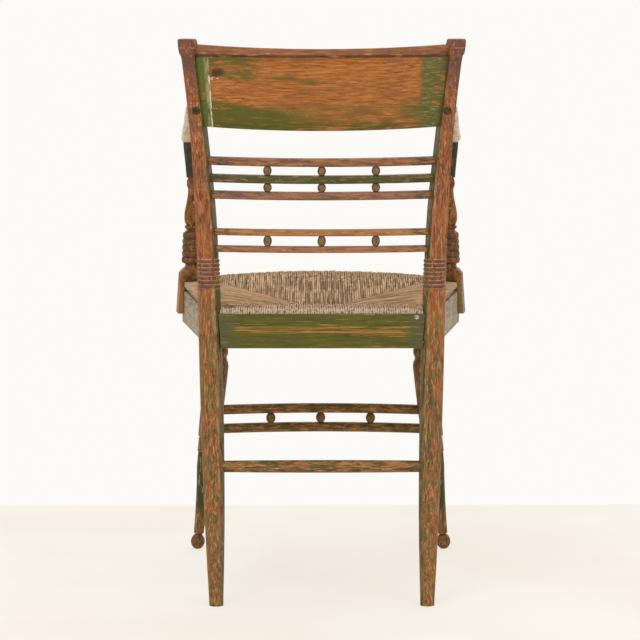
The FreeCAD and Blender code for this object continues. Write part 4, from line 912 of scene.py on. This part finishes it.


# the arms: pale cream tones, partly worn bare wood and partly painted reflection of the white backdrop on
# their tops and outer sides
armWearReflectionAndShadeLook = dict(
    tones=((196, 176, 144), (228, 212, 182)), grain=(160, 30, 160), rough=0.42, bump=0.35, rich=1.05,
    deep=0.95,
    layers=(
        coat((168, 134, 98), (190, 34, 190), 0.55, 0.66, 0.7),
        coat((96, 84, 54), (90, 30, 90), 0.56, 0.64, 0.7, seed=9),
        # the downturned front ends: near black, partly their dark paint and partly painted shade under the
        # bend, with olive flecks over it
        coat((40, 38, 24), (80, 80, 40), 0.22, 0.36, 0.97, seed=7,
             where=(("z", 0.706, 0.697), ("y", -0.10, -0.13))),
        coat((104, 96, 70), (180, 180, 60), 0.58, 0.66, 0.7, seed=17,
             where=(("z", 0.700, 0.690), ("y", -0.10, -0.13))),
    ))
armWearReflectionAndShadeFinish = wornFinish("armWearReflectionAndShadeFinish", armWearReflectionAndShadeLook)
makePair("armShown", lambda: loftRings(armRings()), armWearReflectionAndShadeFinish, "arm")

# arm supports

supportShape = dict(baseTop=0.481, baseHalf=0.015, lapBottom=0.4076, lapThick=0.0095, lapTop=0.005,
                    notch=0.007, notchBottom=0.4456, shoulder=0.473, neck=0.0128, bulbBottom=0.4905,
                    bulbHeight=0.050, bulb=0.019,
                    bulbTop=0.0164, ridges=5, groove=0.0014, ringHeight=0.5495, ring=0.0134, waist=0.0104,
                    vaseHeight=0.566, vase=0.0139, throatHeight=0.6115, throat=0.0074, bead=0.0096,
                    top=0.631,
                    tenon=0.0055, tenonTop=0.645, vaseSwell=0.0125, clearance=0.0003, seatTop=0.44312)


def supportOutline():
    shape = supportShape
    points = [(0, shape["baseTop"] - 0.002), (shape["baseHalf"] * 0.96, shape["baseTop"] - 0.002),
              (shape["baseHalf"], shape["baseTop"]), (shape["baseHalf"] * 0.96, shape["baseTop"] + 0.0018),
              (shape["neck"] * 1.02, shape["baseTop"] + 0.0042),
              (shape["neck"], shape["bulbBottom"] - 0.002)]
    pitch = shape["bulbHeight"] / shape["ridges"]
    for ridge in range(shape["ridges"]):
        low = shape["bulbBottom"] + ridge * pitch
        radius = shape["bulb"] + (shape["bulbTop"] - shape["bulb"]) * (ridge + 0.5) / shape["ridges"]
        points += arcPoints(low, low + pitch, radius - shape["groove"] * 1.3, shape["groove"] * 1.3, 8)
    top = shape["bulbBottom"] + shape["bulbHeight"]
    points += [(shape["waist"] * 1.03, top + 0.003), (shape["waist"], top + 0.0045)]
    points += arcPoints(shape["ringHeight"] - 0.003, shape["ringHeight"] + 0.003, shape["waist"],
                        shape["ring"] - shape["waist"], 8)
    for step in range(1, 8):
        turn = math.radians(-80 + 80 * step / 7)
        points.append((shape["waist"] + (shape["vase"] - shape["waist"]) * math.cos(turn),
                       shape["vaseHeight"] + shape["vaseSwell"] * math.sin(turn)))
    for step in range(1, 12):
        share = step / 11
        fall = 0.5 - 0.5 * math.cos(math.pi * share ** 0.9)
        points.append((shape["vase"] + (shape["throat"] - shape["vase"]) * fall,
                       shape["vaseHeight"] + (shape["throatHeight"] - shape["vaseHeight"]) * share))
    points += arcPoints(shape["throatHeight"] + 0.002, shape["top"] - 0.002, shape["throat"],
                        shape["bead"] - shape["throat"], 10)
    return points + [(shape["throat"], shape["top"]), (shape["tenon"], shape["top"]),
                     (shape["tenon"], shape["tenonTop"]), (0, shape["tenonTop"])]


supportLook = dict(
    tones=((124, 78, 52), (168, 112, 74)), grain=(280, 280, 60), rough=0.48, bump=0.35,
    layers=(
        coat((66, 42, 30), (150, 150, 80), 0.48, 0.6, 0.8),
        coat((84, 76, 40), (120, 120, 60), 0.54, 0.62, 0.8, seed=4),
        coat((84, 66, 56), (120, 120, 60), 0.4, 0.55, 0.6, seed=6,
             where=(("z", 0.484, 0.492), ("z", 0.545, 0.538))),
        coat((214, 166, 98), (260, 260, 200), 0.6, 0.66, 0.85, seed=7),
        coat((176, 132, 90), (60, 60, 90), 0.3, 0.46, 0.85, seed=15,
             where=(("x", 0.2215, 0.2235), ("z", 0.462, 0.448))),
        coat((148, 130, 88), (60, 60, 90), 0.3, 0.46, 0.9, seed=17,
             where=(("x", -0.2215, -0.2235), ("z", 0.466, 0.452))),
        coat((62, 72, 40), (90, 90, 90), 0.4, 0.52, 0.85, seed=9,
             where=(("spot", (0.208, -0.15, 0.458), (0.017, 0.03, 0.018), 0.5),)),
        coat((62, 72, 40), (90, 90, 90), 0.4, 0.52, 0.85, seed=11,
             where=(("spot", (-0.208, -0.15, 0.458), (0.017, 0.03, 0.018), 0.5),)),
    ))
supportFinish = wornFinish("supportFinish", supportLook)
supportPlace = (Matrix.Translation((armShape["frontHalf"], chairLines["setback"] - armShape["supportReach"],
                                    0))
                @ Matrix.Rotation(chairLines["splay"], 4, "Z"))


def supportBase():
    # the squared foot of a support, with the tongue that laps down over the casing
    shape = supportShape
    across = chairLines["seatHalf"] + armShape["supportReach"] * math.tan(chairLines["splay"])
    across -= armShape["frontHalf"]
    inner = across * math.cos(chairLines["splay"]) + shape["clearance"]
    seatTop = shape["seatTop"] + (armShape["supportReach"] + shape["baseHalf"]) * math.tan(chairLines["tilt"])
    half = shape["baseHalf"]
    outline = ((-half, seatTop), (inner - shape["notch"], seatTop),
               (inner - shape["notch"] * 0.6, shape["notchBottom"]),
               (inner, shape["notchBottom"]), (inner, shape["lapBottom"]),
               (inner + shape["lapThick"], shape["lapBottom"]),
               (inner + shape["lapTop"], shape["shoulder"]),
               (half, shape["baseTop"]), (-half, shape["baseTop"]))
    bm = bmesh.new()
    face = bm.faces.new([bm.verts.new((x, -half, z)) for x, z in outline])
    grown = bmesh.ops.extrude_face_region(bm, geom=[face])
    found = [v for v in grown["geom"] if isinstance(v, bmesh.types.BMVert)]
    bmesh.ops.translate(bm, vec=(0, 2 * half, 0), verts=found)
    bmesh.ops.bevel(bm, geom=bm.edges[:], offset=0.0009, segments=2, profile=0.5, affect="EDGES",
                    material=-1)
    bmesh.ops.transform(bm, matrix=supportPlace, verts=bm.verts)
    return bm


for label in ("left", "right"):
    bm = turnedShape(supportOutline(), supportPlace, 40)
    base = supportBase()
    if label == "right":
        otherSide(bm)
        otherSide(base)
    makePiece(f"supportShown_{label}", bm, supportFinish, [f"arm_support_{label}"])
    makePiece(f"supportFoot_{label}", base, supportFinish)

# screw plugs on the posts

plugShape = dict(height=0.762, radius=0.0067, dome=0.0011, sunk=0.0045, depthShare=0.778)
plugLook = dict(
    tones=((58, 48, 34), (84, 70, 46)), grain=(160, 160, 160), rough=0.5, bump=0.4,
    layers=(
        coat((40, 34, 24), (300, 300, 300), 0.5, 0.62, 0.8),
        coat((104, 88, 56), (260, 260, 60), 0.58, 0.66, 0.8, seed=4),
    ))
plugFinish = wornFinish("plugFinish", plugLook)


def plug():
    height, radius, dome, sunk = (plugShape[key] for key in ("height", "radius", "dome", "sunk"))
    deep = plugShape["depthShare"] * postShape["depth"] / 2
    face = postBack(height) + deep / math.cos(chairLines["postTurn"])
    matrix = (Matrix.Translation((postAcross(height), face,
                                  height)) @ Matrix.Rotation(-chairLines["postTurn"], 4, "Z")
              @ Matrix.Rotation(-backLean(height), 4, "X") @ Matrix.Rotation(-math.pi / 2, 4, "X"))
    outline = [(0, -sunk), (radius, -sunk), (radius, 0), (radius * 0.9, dome * 0.5),
               (radius * 0.6, dome * 0.9),
               (0, dome)]
    return turnedShape(outline, matrix, 28)


makePair("plugShown", plug, plugFinish, "screw_plug")
print("arms made")

# rush seat: a core, and strands laid over it field by field

rushShape = dict(pitch=0.0036, inset=0.0063, crownWidth=0.026, top=0.452, low=0.405, dish=0.023,
                 frontRise=0.0040,
                 sideLap=0.0052, seamHalf=0.036, seam=0.215, reach=0.430, sideReach=0.358,
                 halfWidth=chairLines["seatHalf"],
                 cornerRadius=0.038, coreInset=0.0042, sides=1, seed=7)


def seatPoint(across, forward, height):
    # the seat rises to the front about the foot of its rear rail
    rise, run = height - chairLines["seatFoot"], -forward
    turn = -chairLines["tilt"]
    return Vector((across, chairLines["setback"] + run * math.cos(turn) - rise * math.sin(turn),
                   chairLines["seatFoot"] + run * math.sin(turn) + rise * math.cos(turn)))


def sideLine(forward, inset):
    outer = rushShape["halfWidth"] + forward * math.tan(chairLines["splay"])
    return outer - inset / math.cos(chairLines["splay"])


def frontLine(across, inset):
    half = rushShape["halfWidth"] + rushShape["sideReach"] * math.tan(chairLines["splay"])
    sagitta = rushShape["reach"] - rushShape["sideReach"]
    radius = (half ** 2 + sagitta ** 2) / (2 * sagitta)
    centre = rushShape["reach"] - radius
    return centre + math.sqrt(max((radius - inset) ** 2 - across ** 2, 0.0))


def dishCorner():
    # where the side and front rims of the dish meet
    inset = rushShape["inset"] + rushShape["crownWidth"]
    forward = rushShape["sideReach"]
    for turn in range(30):
        forward = frontLine(sideLine(forward, inset), inset)
    return sideLine(forward, inset), forward


cornerAcross, cornerForward = dishCorner()
rimInset = rushShape["inset"] + rushShape["crownWidth"]
backAcross = sideLine(rimInset, rimInset)


def strandPoints(edge, rim, seam, depth, kind):
    # from the underside of the seam, out round the rail and back over the top to the seam
    low, top = rushShape["low"], rushShape["top"]
    radius = rushShape["pitch"] / 2
    length = math.hypot(seam[0] - edge[0], seam[1] - edge[1])
    if length < 0.012:
        return []

    def spot(along, height):
        share = along / length
        return seatPoint(edge[0] + (seam[0] - edge[0]) * share, edge[1] + (seam[1] - edge[1]) * share,
                         height - radius)
    rimAlong = min(math.hypot(rim[0] - edge[0], rim[1] - edge[1]), 0.7 * length)
    crown = rushShape["frontRise"] * (1 - 0.75 * (edge[0] / 0.2) ** 2) if kind == "front" else 0.0
    if kind in ("blocked", "corner"):
        points = [spot(radius, top - 0.016), spot(radius, top - 0.005)]
    elif kind == "side":
        # over the edge of the casing
        lap = rushShape["sideLap"]
        points = [spot(0.5 * length, low + 2 * radius), spot(radius, low + 2 * radius + 0.004),
                  spot(radius, top - 0.010),
                  spot(-lap, top - 0.0046), spot(-lap * 0.7, top - 0.0012)]
    else:
        points = [spot(length, low + 2 * radius + 0.004), spot(0.5 * length, low + 2 * radius),
                  spot(radius + 0.004, low + 2 * radius), spot(radius, low + 2 * radius + 0.005),
                  spot(radius, top - 0.007), spot(radius + 0.0018, top - 0.0028 + crown * 0.7)]
    points += [spot(0.006, top - 0.0006 + crown), spot(rimAlong * 0.5, top + crown),
               spot(rimAlong, top - 0.0006 + crown * 0.6)]
    for share in (0.12, 0.3, 0.5, 0.7, 0.9, 1.0):
        sag = depth * share ** 0.95 - (0.0016 if 0.2 < share < 0.8 else 0.0008)
        points.append(spot(rimAlong + (length - rimAlong) * share, top - sag + crown * 0.5 * (1 - share)))
    points.append(spot(length + 0.0015, top - depth - 0.005))
    return points


def strandRuns():
    # every strand as its edge, rim and seam places in plan, how deep its seam lies, and its kind
    pitch, inset, dish = rushShape["pitch"], rushShape["inset"], rushShape["dish"]
    seamHalf, seam = rushShape["seamHalf"], rushShape["seam"]
    count = int(0.235 / pitch)
    for number in range(-count, count + 1):
        across = (number + 0.5) * pitch
        side = abs(across)
        front = frontLine(across, inset)
        if side < sideLine(front, inset) - 0.004:
            share = min(max((side - seamHalf) / (cornerAcross - seamHalf), 0.0), 1.0)
            forward = seam + share * (cornerForward - seam)
            if side > cornerAcross:
                forward = min(cornerForward + (side - cornerAcross), front - 0.016)
            edgeCut = max(0.0, side - (sideLine(rushShape["sideReach"], 0) - rushShape["cornerRadius"]))
            cornerShare = edgeCut / rushShape["cornerRadius"]
            front -= rushShape["cornerRadius"] * (1 - math.sqrt(max(1 - cornerShare ** 2, 0.0))) * 0.8
            yield ((across, front), (across, front - rushShape["crownWidth"]), (across, forward),
                   dish * (1 - share), "front")
        if side < 0.168:
            share = max(0.0, (side - seamHalf) / (backAcross - seamHalf))
            forward = max(seam - share * (seam - rimInset), 0.020)
            kind = "back" if side < 0.152 else "corner"
            yield (across, inset), (across, rimInset), (across, forward), dish * max(1 - share, 0.0), kind
    supportForward, supportHalf = armShape["supportReach"], supportShape["baseHalf"] + 0.0012
    for number in range(int(0.40 / pitch)):
        forward = 0.014 + number * pitch
        edge = sideLine(forward, inset)
        if forward > frontLine(edge, inset) - 0.016:
            break
        kind = "side" if forward > 0.030 else "corner"
        if abs(forward - supportForward) < supportHalf + 0.001:
            kind = "blocked"
            edge = armShape["frontHalf"] - supportHalf - 0.0025
        if forward <= seam:
            share = (forward - rimInset) / (seam - rimInset)
            inner = backAcross + max(share, -0.12) * (seamHalf - backAcross)
        else:
            share = (cornerForward - forward) / (cornerForward - seam)
            inner = seamHalf + (1 - share) * (cornerAcross - seamHalf)
        if edge - inner < 0.012:
            continue
        for side in (1, -1):
            yield ((side * edge, forward), (side * (edge - rushShape["crownWidth"]), forward),
                   (side * inner, forward),
                   dish * min(max(share, 0.0), 1.0), kind)


def layStrands():
    random.seed(rushShape["seed"])
    curve = bpy.data.curves.new("rushStrands", "CURVE")
    curve.dimensions = "3D"
    curve.bevel_depth = rushShape["pitch"] / 2 * 1.08
    curve.bevel_resolution = rushShape["sides"]
    curve.use_fill_caps = True
    marks = []
    for edge, rim, seam, depth, kind in strandRuns():
        points = strandPoints(edge, rim, seam, depth, kind)
        if not points:
            continue
        lift = random.uniform(-0.0004, 0.0006)
        sway = [Vector((random.uniform(-0.0006, 0.0006), random.uniform(-0.0006, 0.0006),
                        lift)) for point in points]
        spline = curve.splines.new("POLY")
        spline.points.add(len(points) - 1)
        thick = random.uniform(0.9, 1.08)
        tone, along = random.random(), 0.0
        before = points[0]
        for item, point, move in zip(spline.points, points, sway):
            item.co = (*(point + move), 1.0)
            item.radius = thick * random.uniform(0.93, 1.06)
            along += (point - before).length
            before = point
            marks.append((tone, along))
    holder = bpy.data.objects.new("strandCurve", curve)
    bpy.context.scene.collection.objects.link(holder)
    bpy.context.view_layer.update()
    mesh = bpy.data.meshes.new_from_object(holder.evaluated_get(bpy.context.evaluated_depsgraph_get()))
    bpy.data.objects.remove(holder)
    perPoint = len(mesh.vertices) // len(marks)
    for name, place in (("strandTone", 0), ("strandRun", 1)):
        values = [mark[place] for mark in marks for step in range(perPoint)]
        values += [0.5] * (len(mesh.vertices) - len(values))
        mesh.attributes.new(name, "FLOAT", "POINT").data.foreach_set("value", values[:len(mesh.vertices)])
    print("rush strands:", len(curve.splines), "with", len(mesh.polygons), "faces,", perPoint, "round")
    return mesh


# the gap colour is painted shade between the strands, and the corner colour painted shadow in one back corner
rushLook = dict(dark=(150, 116, 84), light=(224, 188, 142), old=(128, 108, 92), gapShade=(78, 60, 48),
                side=(206, 156, 106),
                edge=(206, 186, 160), edgeSpeck=(136, 108, 92), corner=(84, 76, 70), rough=(0.66, 0.92),
                specular=0.2, bump=0.6, relief=0.001)


def rushFinish():
    # each strand has its own tone, which changes along it as twisted rush does
    material, tree, shader = newMaterial("rushFinish")
    tone = tree.nodes.new("ShaderNodeAttribute")
    tone.attribute_name = "strandTone"
    run = tree.nodes.new("ShaderNodeAttribute")
    run.attribute_name = "strandRun"
    streaks = []
    for stretch, seed in ((34.0, 0.0), (90.0, 40.0)):
        spread = tree.nodes.new("ShaderNodeCombineXYZ")
        tree.links.new(maths(tree, "MULTIPLY", run.outputs["Fac"], stretch), spread.inputs[0])
        tree.links.new(maths(tree, "MULTIPLY", tone.outputs["Fac"], 900.0), spread.inputs[1])
        spread.inputs[2].default_value = seed
        node = tree.nodes.new("ShaderNodeTexNoise")
        node.inputs["Scale"].default_value = 1.0
        node.inputs["Detail"].default_value = 2.0
        tree.links.new(spread.outputs[0], node.inputs["Vector"])
        streaks.append(node.outputs[0])
    fine = cloud(tree, (420, 420, 420), 2.0, 3.0, 0.6)
    patches = cloud(tree, (26, 40, 60), 5.0, 4.0, 0.6)
    colour = blendColours(tree, ramp(tree, streaks[0], 0.36, 0.62), paint(*rushLook["dark"]),
                          paint(*rushLook["light"]))

    def over(factor, share, tint):
        if isinstance(tint, str):
            tint = paint(*rushLook[tint])
        return blendColours(tree, maths(tree, "MULTIPLY", factor, share), colour, tint)
    colour = over(ramp(tree, streaks[1], 0.55, 0.66), 0.75, "old")
    sides = maths(tree, "MULTIPLY", place(tree, ("side", 0.045, 0.11)), place(tree, ("y", -0.10, -0.04)))
    colour = over(sides, 0.3, "side")
    # painted shade: dark rows between the strands of the side fields
    sideRowShade = ramp(tree, cloud(tree, (14, 210, 30), 12.0, 3.0, 0.7), 0.52, 0.62)
    colour = over(maths(tree, "MULTIPLY", sideRowShade, sides), 0.6, "gapShade")
    colour = over(ramp(tree, patches, 0.5, 0.66), 0.4, "old")
    colour = over(ramp(tree, fine, 0.56, 0.66), 0.5, "gapShade")
    # painted shade: the strands' sides, which face away from up, darkened toward the gap colour
    normal = split(tree, "normalParts", coordinates(tree).outputs["Normal"])
    colour = over(ramp(tree, normal.outputs["Z"], 0.72, 0.2), 0.6, "gapShade")
    # the rolled edges are pale and specked, and one back corner is darkened as painted shadow where the side
    # strands meet the back
    slope = math.tan(chairLines["splay"])
    outward = maths(tree, "ADD", axisValue(tree, "side"), maths(tree, "MULTIPLY", axisValue(tree, "y"),
                                                                slope))
    rail = rushShape["halfWidth"] + chairLines["setback"] * slope
    sideEdge = maths(tree, "MULTIPLY", ramp(tree, outward, rail - 0.010, rail - 0.004), 0.6)
    edge = maths(tree, "MAXIMUM", place(tree, ("y", 0.149, 0.157)), sideEdge)
    specks = ramp(tree, cloud(tree, (200, 160, 200), 3.0, 3.0, 0.6), 0.5, 0.6)
    pale = blendColours(tree, maths(tree, "MULTIPLY", specks, 0.8), paint(*rushLook["edge"]),
                        paint(*rushLook["edgeSpeck"]))
    colour = over(edge, 0.85, pale)
    cornerShadow = maths(tree, "MULTIPLY", place(tree, ("spot", (0.134, 0.135, 0.44), (0.028, 0.022, 0.05), 0.5)),
                 ramp(tree, cloud(tree, (70, 90, 90), 8.0, 3.0, 0.6), 0.44, 0.54))
    colour = over(cornerShadow, 0.8, "corner")
    tree.links.new(colour, shader.inputs["Base Color"])
    dress(tree, shader, fine, rushLook["rough"], rushLook["specular"], maths(tree, "ADD", fine, streaks[1]),
          rushLook["bump"], rushLook["relief"])
    return material


rushMaterial = rushFinish()
core = bmesh.new()
core.from_mesh(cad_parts["rush_seat"].data)
bmesh.ops.remove_doubles(core, verts=core.verts, dist=1e-5)
bmesh.ops.recalc_face_normals(core, faces=core.faces)
core.normal_update()
inward = [(vert, vert.normal.copy()) for vert in core.verts]
for vert, normal in inward:
    vert.co -= normal * rushShape["coreInset"]
rushCore = makePiece("rushCore", core, rushMaterial, ["rush_seat"], 60)
strands = bpy.data.objects.new("rushStrands", layStrands())
bpy.context.scene.collection.objects.link(strands)
strands.data.materials.clear()
strands.data.materials.append(rushMaterial)
for face in strands.data.polygons:
    face.use_smooth = True
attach(strands, "root")
print("rush seat made")

# floor, backdrop and light

stageSetup = dict(size=9.0, wallLine=-0.62, floorColour=(253, 247, 240), floorShade=(250, 242, 232),
                  wallColour=(252, 250, 247), floorGlow=0.72, worldLevel=0.72)


def seenDirectly(tree):
    # 1 for what the camera sees, also in a mirror or through glass
    path = tree.nodes.new("ShaderNodeLightPath")
    through = maths(tree, "MAXIMUM", path.outputs["Is Glossy Ray"], path.outputs["Is Transmission Ray"])
    return maths(tree, "MAXIMUM", path.outputs["Is Camera Ray"], through)


def floorMaterial():
    # cream floor, and beyond the line of the wall a plain near-white backdrop
    material, tree, shader = newMaterial("floorPaint")
    beyond = ramp(tree, axisValue(tree, "y"), stageSetup["wallLine"] + 0.01, stageSetup["wallLine"] - 0.01)
    grain = cloud(tree, (3, 3, 3), 1.0, 3.0, 0.5)
    tint = blendColours(tree, ramp(tree, grain, 0.3, 0.7), paint(*stageSetup["floorColour"]),
                        paint(*stageSetup["floorShade"]))
    colour = blendColours(tree, beyond, tint, paint(*stageSetup["wallColour"]))
    tree.links.new(colour, shader.inputs["Base Color"])
    shader.inputs["Roughness"].default_value = 0.8
    shader.inputs["Specular IOR Level"].default_value = 0.1
    glow = tree.nodes.new("ShaderNodeEmission")
    tree.links.new(colour, glow.inputs["Color"])
    share = maths(tree, "MAXIMUM", beyond, stageSetup["floorGlow"])
    mixed = tree.nodes.new("ShaderNodeMixShader")
    tree.links.new(maths(tree, "MULTIPLY", share, seenDirectly(tree)), mixed.inputs[0])
    tree.links.new(shader.outputs[0], mixed.inputs[1])
    tree.links.new(glow.outputs[0], mixed.inputs[2])
    tree.links.new(mixed.outputs[0], tree.nodes["Material Output"].inputs["Surface"])
    return material


floorMesh = bmesh.new()
bmesh.ops.create_grid(floorMesh, x_segments=2, y_segments=2, size=stageSetup["size"])
mesh = bpy.data.meshes.new("floor")
floorMesh.to_mesh(mesh)
floorMesh.free()
floor = bpy.data.objects.new("floor", mesh)
floor.data.materials.append(floorMaterial())
bpy.context.scene.collection.objects.link(floor)

world = bpy.data.worlds.new("studio")
bpy.context.scene.world = world
world.use_nodes = True
worldTree = world.node_tree
soft = worldTree.nodes["Background"]
soft.inputs["Color"].default_value = (1.0, 0.985, 0.965, 1.0)
soft.inputs["Strength"].default_value = stageSetup["worldLevel"]
shown = worldTree.nodes.new("ShaderNodeBackground")
shown.inputs["Color"].default_value = paint(*stageSetup["wallColour"])
shown.inputs["Strength"].default_value = 1.0
choice = worldTree.nodes.new("ShaderNodeMixShader")
worldTree.links.new(seenDirectly(worldTree), choice.inputs[0])
worldTree.links.new(soft.outputs[0], choice.inputs[1])
worldTree.links.new(shown.outputs[0], choice.inputs[2])
worldTree.links.new(choice.outputs[0], worldTree.nodes["World Output"].inputs["Surface"])

lampSetups = (
    dict(name="keyLamp", place=(1.4, 2.6, 2.6), size=1.6, power=34),
    dict(name="fillLamp", place=(-2.2, 2.2, 1.6), size=2.0, power=16),
    dict(name="frontLamp", place=(-0.6, -2.4, 2.4), size=2.0, power=18),
)
for setup in lampSetups:
    lamp = bpy.data.objects.new(setup["name"], bpy.data.lights.new(setup["name"], "AREA"))
    lamp.data.size = setup["size"]
    lamp.data.energy = setup["power"]
    lamp.location = setup["place"]
    lamp.rotation_euler = (Vector((0, 0, 0.45)) - Vector(setup["place"])).to_track_quat("-Z",
                                                                                        "Y").to_euler()
    bpy.context.scene.collection.objects.link(lamp)
print("stage and lamps made")
